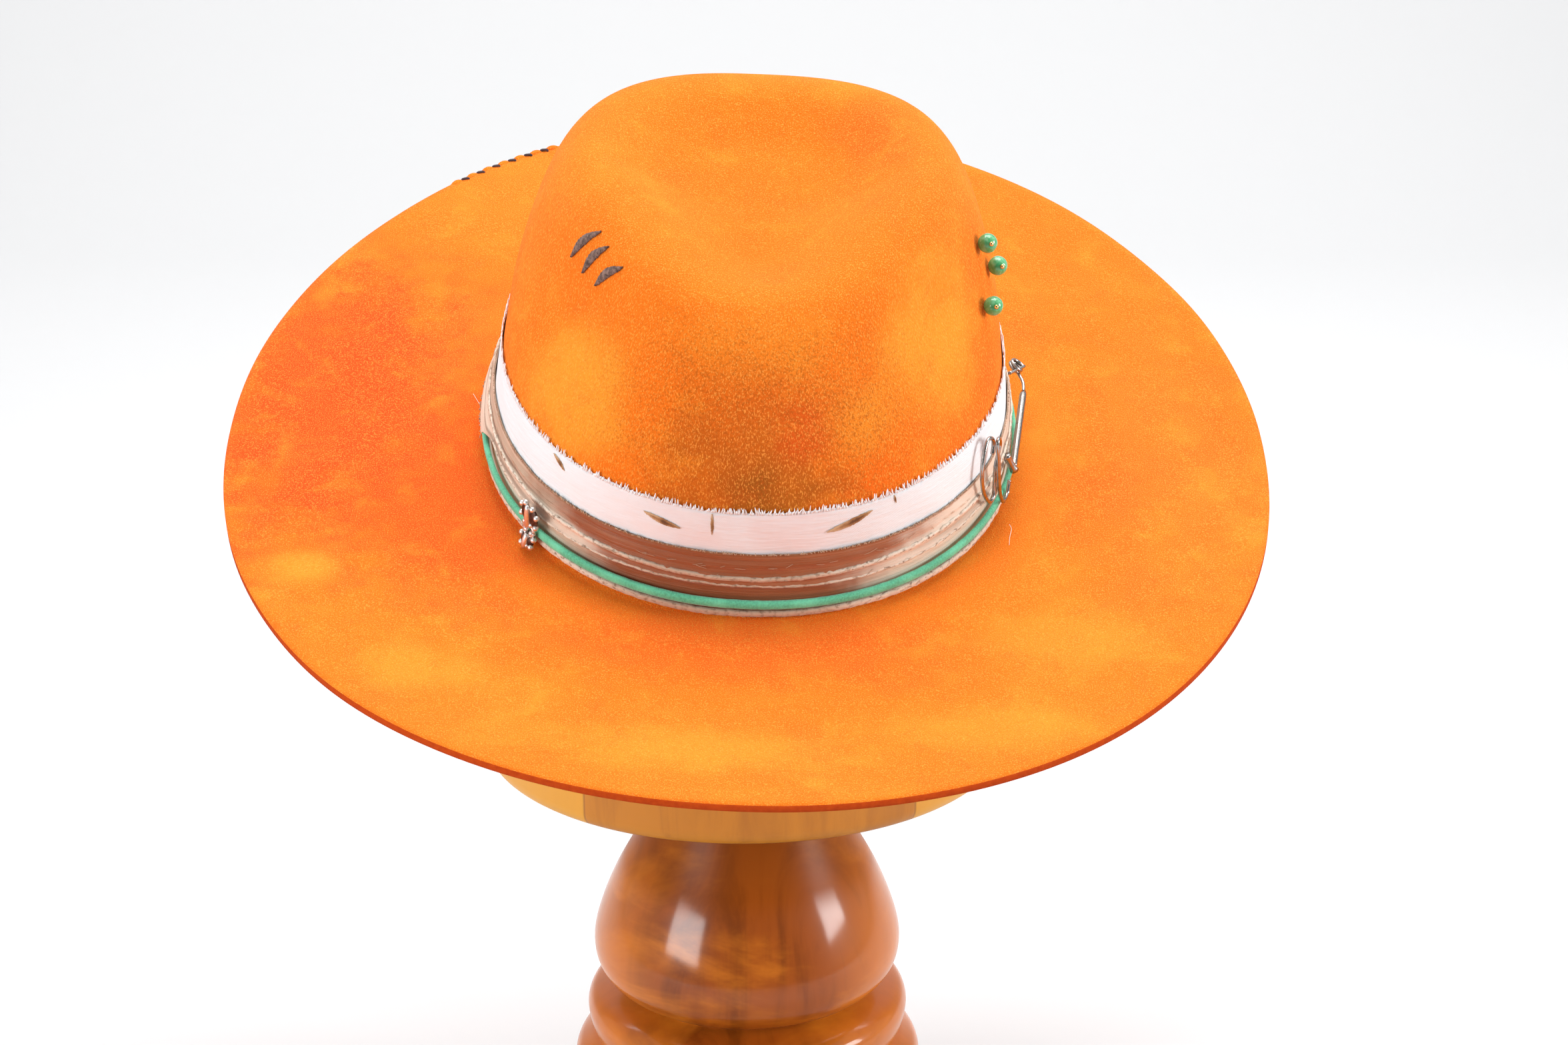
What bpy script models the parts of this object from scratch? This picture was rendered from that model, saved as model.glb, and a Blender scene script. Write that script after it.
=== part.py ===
"""A wide-brim felt fedora with a dressed band, on its turned wooden stand.

Metres, +Z up. The origin is the centre of the stand's flat foot. The hat's own frame is the empty
"hat": its origin is the centre of the hat's opening, +X the viewer's right, -Y the front of the
hat, +Z up through the crown. The empty sits behind and above the foot, tipped forward on the
stand's domed head.
"""
import math

import bmesh
import bpy
import numpy as np
from mathutils import Matrix, Vector

# Shared gaps and thicknesses
GAP = 0.0003
FELT_THICKNESS = 0.0022
STRIP_THICKNESS = 0.0008

# The crown's outer skin, one row per ring from the brim break up over the rim to the dent's floor.
# square is the superellipse power of the ring, taper narrows it towards the front.
# Columns: half_width, front_y, back_y, front_z, side_z, back_z, square, taper
CROWN = np.array([
    [0.0895, -0.1020, 0.1030, 0.0000, 0.0000, 0.0000, 2.10, 0.00],
    [0.0880, -0.1000, 0.1015, 0.0200, 0.0200, 0.0200, 2.10, 0.00],
    [0.0850, -0.0970, 0.0990, 0.0400, 0.0410, 0.0420, 2.10, 0.01],
    [0.0818, -0.0885, 0.0955, 0.0620, 0.0610, 0.0640, 2.10, 0.03],
    [0.0755, -0.0780, 0.0885, 0.0820, 0.0820, 0.0840, 2.20, 0.06],
    [0.0680, -0.0685, 0.0780, 0.0930, 0.0985, 0.0965, 2.35, 0.10],
    [0.0590, -0.0600, 0.0665, 0.0960, 0.1070, 0.1035, 2.50, 0.17],
    [0.0480, -0.0515, 0.0560, 0.0948, 0.1060, 0.1037, 2.40, 0.26],
    [0.0370, -0.0425, 0.0460, 0.0925, 0.0992, 0.0988, 2.20, 0.32],
    [0.0265, -0.0325, 0.0365, 0.0905, 0.0938, 0.0942, 2.10, 0.32],
    [0.0140, -0.0180, 0.0240, 0.0898, 0.0905, 0.0914, 2.00, 0.20],
])
DENT_FLOOR = (0.0, 0.003, 0.0898)
RIM_ROW = 5.5

# The two pinches in the crown's front, either side of the nose
PINCH_ANGLE = math.radians(50)
PINCH_SPREAD = math.radians(24)
PINCH_HEIGHT = 0.078
PINCH_REACH = 0.024
PINCH_DEPTH = 0.007

# The brim's edge in plan, and how far each side rises above the opening's plane
BRIM_HALF_WIDTH = 0.1811
BRIM_FRONT = 0.2029
BRIM_BACK = 0.2055
BRIM_RISE_FRONT = 0.0136
BRIM_RISE_BACK = 0.0052
BRIM_RISE_LEFT = -0.0025
BRIM_RISE_RIGHT = 0.0041
BRIM_RISE_POWER = 1.8
BRIM_FRONT_SQUARE = 2.09
BREAK_RADIUS = 0.004

# How the hat sits on the stand
TILT = math.radians(20.2)
LEAN = math.radians(2.7)

# Segments round each piece
HAT_SEGMENTS = 48
BAND_SEGMENTS = 48
HEAD_SEGMENTS = 36
POST_SEGMENTS = 28

# Rings of the felt body: crown rows from the dent out to the foot of the wall, break, brim
CROWN_STEPS = (10, 9, 8.25, 7.6, 7, 6.5, 6, 5.5, 5, 4.3, 3.5, 2.6, 1.7, 0.9)
BREAK_STEPS = (0, 45, 90)
BRIM_STEPS = (0.12, 0.3, 0.5, 0.7, 0.87, 1.0)

# The folded satin ribbon: height on the crown, how far its inner and outer faces stand off the felt
# Columns: height, inner, outer
RIBBON = (
    (0.0036, 0.0003, 0.0024),
    (0.0045, 0.0003, 0.0028),
    (0.0054, 0.0003, 0.0022),
    (0.0088, 0.0003, 0.0022),
    (0.0108, 0.0003, 0.0031),
    (0.0138, 0.0003, 0.0021),
    (0.0166, 0.0003, 0.0029),
    (0.0196, 0.0003, 0.0023),
    (0.0204, 0.0014, 0.0023),
    (0.0238, 0.0014, 0.0021),
)
STRIP_BOTTOM = 0.0208
STRIP_TOP = 0.0388
STRIP_ROWS = 4
LACE_BOTTOM = 0.0055
LACE_TOP = 0.0085
LACE_INNER = 0.0027
LACE_OUTER = 0.0042

# The charm: a winged bead on the lace. Two lobes stand above and below its middle.
CHARM_ANGLE = math.radians(-138.0)
# Columns: along_band, height, stand_off, half_length, half_height, half_depth
CHARM_LOBES = (
    (0.0000, 0.0084, 0.0064, 0.0034, 0.0034, 0.0019),
    (-0.0022, 0.0142, 0.0060, 0.0030, 0.0048, 0.0016),
    (0.0024, 0.0138, 0.0060, 0.0026, 0.0044, 0.0016),
    (-0.0014, 0.0048, 0.0074, 0.0026, 0.0034, 0.0016),
    (0.0018, 0.0052, 0.0072, 0.0022, 0.0030, 0.0016),
)

# The large pin on the band's right side: angle round the hat in degrees, height, stand-off
PIN_WIRE = 0.0012
PIN_COIL_RADIUS = 0.0026
PIN_COIL_TURNS = 1.5
PIN_COIL_RISE = 0.002625
PIN_COIL_STEPS = 21
PIN_COIL = (10.2, 0.0172, 0.0070)
PIN_FRONT_LEG = ((7.2, 0.0152, 0.0082), (4.6, 0.0142, 0.0080))
PIN_SLEEVE = ((4.2, 0.0141, 0.0079), (-7.5, 0.0134, 0.0066), (-19.2, 0.0126, 0.0056))
PIN_SLEEVE_WIDTH = 0.0026
PIN_BACK_LEG = ((7.0, 0.0196, 0.0042), (-6.0, 0.0190, 0.0040), (-19.6, 0.0178, 0.0042))
PIN_CAP_LENGTH = 0.0070
PIN_CAP_WIDTH = 0.0026

# The wire clip: two tall narrow loops of one bent wire
CLIP_WIRE = 0.0012
CLIP_ROUTE = (
    (-29.4, 0.0298, 0.0040), (-28.4, 0.0323, 0.0040), (-28.6, 0.0348, 0.0041), (-30.0, 0.0366, 0.0041),
    (-31.6, 0.0357, 0.0040), (-33.6, 0.0312, 0.0040), (-34.4, 0.0252, 0.0040), (-34.0, 0.0194, 0.0042),
    (-32.1, 0.0142, 0.0046), (-30.2, 0.0145, 0.0046), (-29.4, 0.0185, 0.0044), (-28.7, 0.0244, 0.0044),
    (-27.2, 0.0281, 0.0046), (-26.4, 0.0312, 0.0050), (-27.5, 0.0345, 0.0056), (-28.9, 0.0342, 0.0060),
    (-29.4, 0.0280, 0.0062), (-29.7, 0.0216, 0.0062), (-28.9, 0.0145, 0.0060), (-26.7, 0.0084, 0.0058),
    (-23.9, 0.0077, 0.0056), (-22.8, 0.0100, 0.0056), (-22.4, 0.0118, 0.0056),
)

# Three round beads pinned to the crown's right side: angle, height
BEAD_DIAMETER = 0.0066
BEADS = ((-8.5, 0.0838), (-5.6, 0.0732), (-15.1, 0.0672))

# Three slashes on the crown's left shoulder: start angle and height, end angle and height
SLASHES = (
    ((-152.4, 0.0880), (-146.5, 0.1005)),
    ((-146.6, 0.0864), (-141.3, 0.0985)),
    ((-140.8, 0.0859), (-133.7, 0.0960)),
)
SLASH_WIDTH = 0.0028
SLASH_THICKNESS = 0.0006
SLASH_BOW = 0.0012
SLASH_STEPS = 8

# The stand: a domed head on a turned post. Heights are above the foot's flat bottom.
HEAD_RADIUS = 0.0968
HEAD_BOTTOM = 0.2075
HEAD_CENTRE = 0.2942
HEAD_EDGE_RADIUS = 0.006
SEAT_GAP = 0.0004
# Columns: height, radius
POST = (
    (HEAD_BOTTOM - GAP, 0.0370), (0.1960, 0.0350), (0.1860, 0.0350), (0.1785, 0.0376), (0.1680, 0.0425),
    (0.1540, 0.0500), (0.1400, 0.0556), (0.1295, 0.0580), (0.1210, 0.0568), (0.1149, 0.0522),
    (0.1129, 0.0473), (0.1105, 0.0500), (0.1070, 0.0580), (0.1025, 0.0608), (0.0975, 0.0606),
    (0.0925, 0.0590), (0.0898, 0.0570), (0.0875, 0.0600), (0.0830, 0.0650), (0.0775, 0.0662),
    (0.0715, 0.0640), (0.0680, 0.0580), (0.0600, 0.0500), (0.0500, 0.0500), (0.0400, 0.0570),
    (0.0320, 0.0690), (0.0270, 0.0820), (0.0240, 0.0880), (0.0205, 0.0918), (0.0040, 0.0930),
    (0.0000, 0.0910),
)

# Colours, roughness and metal of each piece
LOOKS = {
    "felt_body": ((0.93, 0.28, 0.03), 0.9, 0.0),
    "white_strip": ((0.86, 0.82, 0.80), 0.8, 0.0),
    "satin_ribbon": ((0.32, 0.17, 0.10), 0.4, 0.0),
    "suede_lace": ((0.12, 0.52, 0.30), 0.85, 0.0),
    "charm": ((0.62, 0.48, 0.44), 0.3, 1.0),
    "kilt_pin": ((0.75, 0.74, 0.72), 0.2, 1.0),
    "wire_clip": ((0.75, 0.74, 0.72), 0.2, 1.0),
    "bead": ((0.10, 0.55, 0.28), 0.2, 0.0),
    "slash": ((0.09, 0.06, 0.05), 0.9, 0.0),
    "stand_head": ((0.65, 0.34, 0.11), 0.4, 0.0),
    "stand_post": ((0.28, 0.08, 0.02), 0.2, 0.0),
}


# The hat's surface

def superellipse(angle, power):
    """Unit superellipse at an angle: power 2 is an ellipse, more is squarer."""
    cosine, sine = np.cos(angle), np.sin(angle)
    reach = (np.abs(cosine) ** power + np.abs(sine) ** power) ** (-1 / power)
    return reach * cosine, reach * sine


def between_rows(rows, row):
    """Smooth value of a table at a fractional row, by a Catmull-Rom curve."""
    last = len(rows) - 1
    first = int(min(max(math.floor(row), 0), last - 1))
    share = row - first
    before, here = rows[max(first - 1, 0)], rows[first]
    there, after = rows[first + 1], rows[min(first + 2, last)]
    return 0.5 * (2 * here + (there - before) * share
                  + (2 * before - 5 * here + 4 * there - after) * share ** 2
                  + (3 * here - before - 3 * there + after) * share ** 3)


def crown_ring(row, angle):
    """Points of the crown's outer skin at a fractional table row, for an array of angles."""
    half_width, front_y, back_y, front_z, side_z, back_z, square, taper = between_rows(CROWN, row)
    across, along = superellipse(angle, square)
    x = half_width * across * (1 - taper * np.clip(-along, 0, 1))
    y = (front_y + back_y) / 2 + (back_y - front_y) / 2 * along
    end_share = np.sin(angle) ** 2
    z = side_z * (1 - end_share) + np.where(np.sin(angle) < 0, front_z, back_z) * end_share
    from_front = np.abs(np.angle(np.exp(1j * (angle + math.pi / 2))))
    pinch = PINCH_DEPTH * np.exp(-((from_front - PINCH_ANGLE) / PINCH_SPREAD) ** 2)
    pinch = pinch * np.exp(-((z - PINCH_HEIGHT) / PINCH_REACH) ** 2)
    inward = 1 - pinch / np.hypot(x, y)
    return np.stack([x * inward, y * inward, z], -1)


def plan_normal(points):
    """Outward direction in plan at points round the crown."""
    half_width, front_y, back_y = CROWN[0][:3]
    half_length = (back_y - front_y) / 2
    normal = np.stack([points[:, 0] / half_width ** 2, points[:, 1] / half_length ** 2], -1)
    return normal / np.linalg.norm(normal, axis=1, keepdims=True)


def crown_point(angle, height, stand_off=0.0):
    """A point on the crown's wall at an angle and height, moved out from the felt by stand_off."""
    low, high = 0.0, RIM_ROW
    at = np.array([angle])
    for _ in range(40):
        middle = (low + high) / 2
        if crown_ring(middle, at)[0][2] < height:
            low = middle
        else:
            high = middle
    point = crown_ring((low + high) / 2, at)
    point[0, :2] += plan_normal(point)[0] * stand_off
    return Vector(point[0])


def break_ring(turn, angle):
    """The fillet between crown and brim; turn runs from 0 on the wall to 90 degrees on the brim."""
    wall = np.array([crown_point(a, BREAK_RADIUS) for a in angle])
    out = BREAK_RADIUS * (1 - math.cos(turn))
    wall[:, :2] += plan_normal(wall) * out
    wall[:, 2] = BREAK_RADIUS * (1 - math.sin(turn))
    return wall


def brim_ring(share, angle):
    """The brim's upper skin; share runs from 0 at the break to 1 at the cut edge."""
    inner = break_ring(math.pi / 2, angle)
    cosine, sine = np.cos(angle), np.sin(angle)
    across, along = superellipse(angle, np.where(sine < 0, BRIM_FRONT_SQUARE, 2.0))
    edge_x = BRIM_HALF_WIDTH * across
    edge_y = np.where(sine < 0, BRIM_FRONT, BRIM_BACK) * along
    side_rise = np.where(cosine > 0, BRIM_RISE_RIGHT, BRIM_RISE_LEFT) * cosine ** 2
    end_rise = np.where(sine < 0, BRIM_RISE_FRONT, BRIM_RISE_BACK) * sine ** 2
    x = inner[:, 0] * (1 - share) + edge_x * share
    y = inner[:, 1] * (1 - share) + edge_y * share
    return np.stack([x, y, (side_rise + end_rise) * share ** BRIM_RISE_POWER], -1)


def seat_height():
    """How far the opening's centre sits above the head's sphere, along the hat's own axis."""
    angles = np.linspace(0, 2 * math.pi, HAT_SEGMENTS, endpoint=False)
    skin = [crown_point(a, h, -FELT_THICKNESS) for a in angles for h in (0.003, 0.006, 0.010, 0.020, 0.030)]
    low, high = 0.0, HEAD_RADIUS
    for _ in range(40):
        middle = (low + high) / 2
        nearest = min((p + Vector((0, 0, middle))).length for p in skin)
        if nearest < HEAD_RADIUS + SEAT_GAP:
            low = middle
        else:
            high = middle
    return (low + high) / 2


# Blender helpers

def clear_scene():
    for item in list(bpy.data.objects):
        bpy.data.objects.remove(item, do_unlink=True)


def new_collection(name):
    collection = bpy.data.collections.new(name)
    bpy.context.scene.collection.children.link(collection)
    return collection


def material(name):
    """One plain Principled material for each piece, with its colour, roughness and metal."""
    colour, roughness, metallic = LOOKS[name.rstrip("_123")]
    made = bpy.data.materials.new(name)
    made.use_nodes = True
    shader = made.node_tree.nodes["Principled BSDF"]
    shader.inputs["Base Color"].default_value = (*colour, 1)
    shader.inputs["Roughness"].default_value = roughness
    shader.inputs["Metallic"].default_value = metallic
    return made


def add_piece(name, data, collection, parent=None):
    piece = bpy.data.objects.new(name, data)
    data.materials.append(material(name))
    collection.objects.link(piece)
    piece.parent = parent
    return piece


def mesh_of(name, points, faces, smooth=True):
    mesh = bpy.data.meshes.new(name)
    mesh.from_pydata([tuple(p) for p in points], [], faces)
    mesh.update()
    if smooth:
        mesh.shade_smooth()
    return mesh


def turned(name, profile, segments, collection):
    """A piece turned about +Z from a profile of (radius, height), run down its outer side."""
    mesh = bpy.data.meshes.new(name)
    edges = [(i, i + 1) for i in range(len(profile) - 1)]
    mesh.from_pydata([(radius, 0, height) for radius, height in profile], edges, [])
    piece = add_piece(name, mesh, collection)
    screw = piece.modifiers.new("turn", "SCREW")
    screw.axis = "Z"
    screw.angle = 2 * math.pi
    screw.steps = segments
    screw.render_steps = segments
    screw.use_merge_vertices = True
    screw.merge_threshold = 0.00005
    screw.use_smooth_shade = True
    return piece


def wire_curve(name, points, width, sides_resolution=1):
    """A round wire along a route: a poly curve with a bevel and filled caps."""
    curve = bpy.data.curves.new(name, "CURVE")
    curve.dimensions = "3D"
    curve.bevel_depth = width / 2
    curve.bevel_resolution = sides_resolution
    curve.render_resolution_u = 0
    curve.use_fill_caps = True
    spline = curve.splines.new("POLY")
    spline.points.add(len(points) - 1)
    for knot, point in zip(spline.points, points):
        knot.co = (*point, 1)
    return curve


def smooth_route(knots, steps):
    """Points along a smooth curve through a route's own knots."""
    rows = np.array([tuple(k) for k in knots])
    count = (len(rows) - 1) * steps
    return [Vector(between_rows(rows, i / steps)) for i in range(count + 1)]


def welded_mesh(curve, name):
    """The curve as a closed mesh, its caps welded, so that it can be joined to others."""
    holder = bpy.data.objects.new(name, curve)
    bpy.context.scene.collection.objects.link(holder)
    bpy.context.view_layer.update()
    evaluated = holder.evaluated_get(bpy.context.evaluated_depsgraph_get())
    mesh = bpy.data.meshes.new_from_object(evaluated)
    work = bmesh.new()
    work.from_mesh(mesh)
    bmesh.ops.remove_doubles(work, verts=work.verts, dist=0.00001)
    bmesh.ops.recalc_face_normals(work, faces=work.faces)
    work.to_mesh(mesh)
    work.free()
    bpy.data.objects.remove(holder, do_unlink=True)
    return mesh


def joined(name, meshes, collection, cutters, parent):
    """One solid from several closed meshes, by exact Boolean unions."""
    body = add_piece(name, meshes[0], collection, parent)
    for index, mesh in enumerate(meshes[1:], 1):
        other = bpy.data.objects.new(f"{name}_join_{index}", mesh)
        cutters.objects.link(other)
        other.parent = parent
        other.hide_render = True
        other.display_type = "WIRE"
        union = body.modifiers.new(f"join_{index}", "BOOLEAN")
        union.operation = "UNION"
        union.solver = "EXACT"
        union.object = other
    return body


# The pieces of the hat

def add_felt_body(collection, hat):
    """Crown and brim as one felt shell: an open lofted skin with its thickness on the inside."""
    angles = np.linspace(0, 2 * math.pi, HAT_SEGMENTS, endpoint=False)
    rings = [crown_ring(row, angles) for row in CROWN_STEPS]
    rings += [break_ring(math.radians(turn), angles) for turn in BREAK_STEPS]
    rings += [brim_ring(share, angles) for share in BRIM_STEPS]
    points = [DENT_FLOOR] + [p for ring in rings for p in ring]
    count = HAT_SEGMENTS
    faces = [(0, 1 + i, 1 + (i + 1) % count) for i in range(count)]
    for r in range(len(rings) - 1):
        inner, outer = 1 + r * count, 1 + (r + 1) * count
        for i in range(count):
            j = (i + 1) % count
            faces.append((inner + i, outer + i, outer + j, inner + j))
    felt = add_piece("felt_body", mesh_of("felt_body", points, faces), collection, hat)
    wall = felt.modifiers.new("felt thickness", "SOLIDIFY")
    wall.thickness = FELT_THICKNESS
    wall.offset = -1
    wall.use_even_offset = True


def band(name, section, collection, hat):
    """A closed ring round the crown with a constant section, given as (height, stand_off) pairs."""
    angles = np.linspace(0, 2 * math.pi, BAND_SEGMENTS, endpoint=False)
    points = [crown_point(a, height, stand_off) for a in angles for height, stand_off in section]
    size = len(section)
    faces = []
    for i in range(BAND_SEGMENTS):
        here, there = i * size, (i + 1) % BAND_SEGMENTS * size
        for k in range(size):
            n = (k + 1) % size
            faces.append((here + k, there + k, there + n, here + n))
    return add_piece(name, mesh_of(name, points, faces), collection, hat)


def add_bands(collection, hat):
    """The white cotton strip, the folded satin ribbon over its lower edge, and the suede lace."""
    heights = np.linspace(STRIP_TOP, STRIP_BOTTOM, STRIP_ROWS)
    back = [(height, GAP) for height in heights]
    face = [(height, GAP + STRIP_THICKNESS) for height in heights[::-1]]
    band("white_strip", back + face, collection, hat)
    inner = [(height, inside) for height, inside, _ in reversed(RIBBON)]
    outer = [(height, outside) for height, _, outside in RIBBON]
    band("satin_ribbon", inner + outer, collection, hat)
    lace = ((LACE_TOP, LACE_OUTER), (LACE_TOP, LACE_INNER), (LACE_BOTTOM, LACE_INNER), (LACE_BOTTOM, LACE_OUTER))
    band("suede_lace", lace, collection, hat)


def add_charm(collection, cutters, hat):
    """The charm, from five flattened lobes joined into one solid."""
    centre = crown_point(CHARM_ANGLE, LACE_BOTTOM)
    normal = Vector((*plan_normal(np.array([centre]))[0], 0))
    along = Vector((0, 0, 1)).cross(normal)
    meshes = []
    for along_band, height, stand_off, half_length, half_height, half_depth in CHARM_LOBES:
        place = centre + along * along_band + normal * stand_off
        place.z = height
        turn = Matrix((along, normal, Vector((0, 0, 1)))).transposed().to_4x4()
        scale = Matrix.Diagonal((half_length, half_depth, half_height, 1))
        work = bmesh.new()
        bmesh.ops.create_icosphere(work, subdivisions=2, radius=1, matrix=Matrix.Translation(place) @ turn @ scale)
        mesh = bpy.data.meshes.new("charm_lobe")
        work.to_mesh(mesh)
        work.free()
        mesh.shade_smooth()
        meshes.append(mesh)
    joined("charm", meshes, collection, cutters, hat)


def on_band(stations):
    """Points from (degrees round the hat, height, stand-off) stations."""
    return [crown_point(math.radians(angle), height, off) for angle, height, off in stations]


def add_kilt_pin(collection, cutters, hat):
    """A closed safety pin: coil, bare leg and sleeve in front, back leg, and the cap across both."""
    coil_centre = on_band([PIN_COIL])[0]
    normal = Vector((*plan_normal(np.array([coil_centre]))[0], 0))
    along = Vector((0, 0, 1)).cross(normal)
    upright = Vector((0, 0, 1))
    front = on_band(PIN_FRONT_LEG)
    back = on_band(PIN_BACK_LEG)
    sleeve = smooth_route(on_band(PIN_SLEEVE), 3)
    coil = []
    for i in range(PIN_COIL_STEPS + 1):
        share = i / PIN_COIL_STEPS
        turn = math.radians(-90) + share * 2 * math.pi * PIN_COIL_TURNS
        lift = upright * PIN_COIL_RISE * (0.5 - share)
        coil.append(coil_centre + PIN_COIL_RADIUS * (along * -math.sin(turn) + normal * math.cos(turn)) + lift)
    route = [sleeve[1]] + front[::-1] + coil + smooth_route(back, 3)
    wire = welded_mesh(wire_curve("pin_wire", route, PIN_WIRE), "pin_wire")
    tube = welded_mesh(wire_curve("pin_sleeve", sleeve, PIN_SLEEVE_WIDTH, 2), "pin_sleeve")
    cap_ends = (sleeve[-1], back[-1])
    reach = (cap_ends[1] - cap_ends[0]).normalized() * (PIN_CAP_LENGTH - (cap_ends[1] - cap_ends[0]).length) / 2
    cap = welded_mesh(wire_curve("pin_cap", (cap_ends[0] - reach, cap_ends[1] + reach), PIN_CAP_WIDTH, 2), "pin_cap")
    joined("kilt_pin", [wire, tube, cap], collection, cutters, hat)


def add_wire_clip(collection, hat):
    """The clip's two loops, one bent wire that stands on the ribbon."""
    route = smooth_route(on_band(CLIP_ROUTE), 2)
    add_piece("wire_clip", wire_curve("wire_clip", route, CLIP_WIRE), collection, hat)


def skin_frame(angle, height):
    """Point, outward normal and upward tangent of the crown's skin."""
    here = crown_point(angle, height)
    up = (crown_point(angle, height + 0.001) - crown_point(angle, height - 0.001)).normalized()
    round_hat = (crown_point(angle + 0.02, height) - crown_point(angle - 0.02, height)).normalized()
    return here, round_hat.cross(up).normalized(), up


def add_beads(collection, hat):
    for index, (angle, height) in enumerate(BEADS, 1):
        mesh = bpy.data.meshes.new(f"bead_{index}")
        work = bmesh.new()
        bmesh.ops.create_uvsphere(work, u_segments=12, v_segments=8, radius=BEAD_DIAMETER / 2)
        work.to_mesh(mesh)
        work.free()
        mesh.shade_smooth()
        bead = add_piece(f"bead_{index}", mesh, collection, hat)
        place, normal, _ = skin_frame(math.radians(angle), height)
        bead.location = place + normal * (BEAD_DIAMETER / 2 + GAP)


def add_slashes(collection, hat):
    """Three thin curved patches lying on the crown's shoulder, pointed at both ends."""
    for index, ((angle_a, height_a), (angle_b, height_b)) in enumerate(SLASHES, 1):
        points = []
        for i in range(SLASH_STEPS + 1):
            share = i / SLASH_STEPS
            angle = math.radians(angle_a + (angle_b - angle_a) * share)
            place, normal, _ = skin_frame(angle, height_a + (height_b - height_a) * share)
            ahead = skin_frame(angle + math.radians(angle_b - angle_a) * 0.05,
                               height_a + (height_b - height_a) * (share + 0.05))[0]
            side = normal.cross(ahead - place).normalized()
            width = SLASH_WIDTH * (0.22 + 0.78 * math.sin(math.pi * share) ** 0.7) / 2
            middle = place + side * SLASH_BOW * math.sin(math.pi * share)
            for across, lift in ((-width, GAP), (width, GAP), (width, GAP + SLASH_THICKNESS),
                                 (-width, GAP + SLASH_THICKNESS)):
                points.append(middle + side * across + normal * lift)
        faces = [(3, 2, 1, 0)]
        for i in range(SLASH_STEPS):
            for k in range(4):
                n = (k + 1) % 4
                faces.append((4 * i + k, 4 * i + n, 4 * i + 4 + n, 4 * i + 4 + k))
        end = 4 * SLASH_STEPS
        faces.append((end, end + 1, end + 2, end + 3))
        mesh = mesh_of(f"slash_{index}", points, faces, smooth=False)
        work = bmesh.new()
        work.from_mesh(mesh)
        bmesh.ops.recalc_face_normals(work, faces=work.faces)
        work.to_mesh(mesh)
        work.free()
        add_piece(f"slash_{index}", mesh, collection, hat)


# The stand

def add_stand(collection):
    """The head, a short block with a domed top inside the crown, and the turned post with its foot."""
    dome_steps, edge_steps = 12, 4
    head = [(HEAD_RADIUS * math.sin(math.pi / 2 * i / dome_steps),
             HEAD_CENTRE + HEAD_RADIUS * math.cos(math.pi / 2 * i / dome_steps)) for i in range(dome_steps + 1)]
    for i in range(edge_steps + 1):
        turn = math.pi / 2 * i / edge_steps
        head.append((HEAD_RADIUS - HEAD_EDGE_RADIUS * (1 - math.cos(turn)),
                     HEAD_BOTTOM + HEAD_EDGE_RADIUS * (1 - math.sin(turn))))
    head.append((0, HEAD_BOTTOM))
    turned("stand_head", head, HEAD_SEGMENTS, collection)
    post = [(0, POST[0][0])] + [(radius, height) for height, radius in POST] + [(0, 0)]
    turned("stand_post", post, POST_SEGMENTS, collection)


def main():
    clear_scene()
    collection = new_collection("fedora_on_stand")
    cutters = new_collection("joins")
    hat = bpy.data.objects.new("hat", None)
    collection.objects.link(hat)
    lean = Matrix.Rotation(TILT, 4, "X") @ Matrix.Rotation(LEAN, 4, "Y")
    seat = lean @ Vector((0, 0, seat_height()))
    hat.matrix_world = Matrix.Translation(Vector((0, 0, HEAD_CENTRE)) + seat) @ lean
    add_felt_body(collection, hat)
    add_bands(collection, hat)
    add_charm(collection, cutters, hat)
    add_kilt_pin(collection, cutters, hat)
    add_wire_clip(collection, hat)
    add_beads(collection, hat)
    add_slashes(collection, hat)
    add_stand(collection)


main()
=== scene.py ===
"""Looks of a wide-brim felt fedora with a dressed band, tipped forward on a turned wooden stand.

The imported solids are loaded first. The hat's pieces are made in the hat's own frame, whose origin is
the centre of its opening, and then set on the stand. The stand is made in the frame of the solids.
"""
import math

import bmesh
import bpy
import numpy as np
from mathutils import Matrix, Vector


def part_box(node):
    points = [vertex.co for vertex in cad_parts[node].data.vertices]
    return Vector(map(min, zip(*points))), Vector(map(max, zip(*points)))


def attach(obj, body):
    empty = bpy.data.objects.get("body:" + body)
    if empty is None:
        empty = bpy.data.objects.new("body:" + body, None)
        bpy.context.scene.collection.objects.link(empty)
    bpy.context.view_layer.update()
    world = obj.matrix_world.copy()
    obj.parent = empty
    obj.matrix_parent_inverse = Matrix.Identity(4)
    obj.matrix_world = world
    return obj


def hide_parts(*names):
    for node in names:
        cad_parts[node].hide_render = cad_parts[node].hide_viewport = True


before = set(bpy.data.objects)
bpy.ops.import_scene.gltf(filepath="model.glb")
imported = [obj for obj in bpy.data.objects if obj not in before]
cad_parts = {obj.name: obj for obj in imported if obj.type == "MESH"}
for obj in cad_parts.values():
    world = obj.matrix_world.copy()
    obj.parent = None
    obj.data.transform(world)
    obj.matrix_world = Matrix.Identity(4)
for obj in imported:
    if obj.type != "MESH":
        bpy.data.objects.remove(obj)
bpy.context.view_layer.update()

bl_info = {
    "name": "Felt Fedora on a Turned Stand",
    "version": (1, 0, 0),
    "blender": (4, 5, 0),
    "location": "View3D > Sidebar > Fedora",
    "description": "Builds a dyed felt fedora with its dressed band, and the stand that holds it",
    "category": "Object",
}

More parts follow.
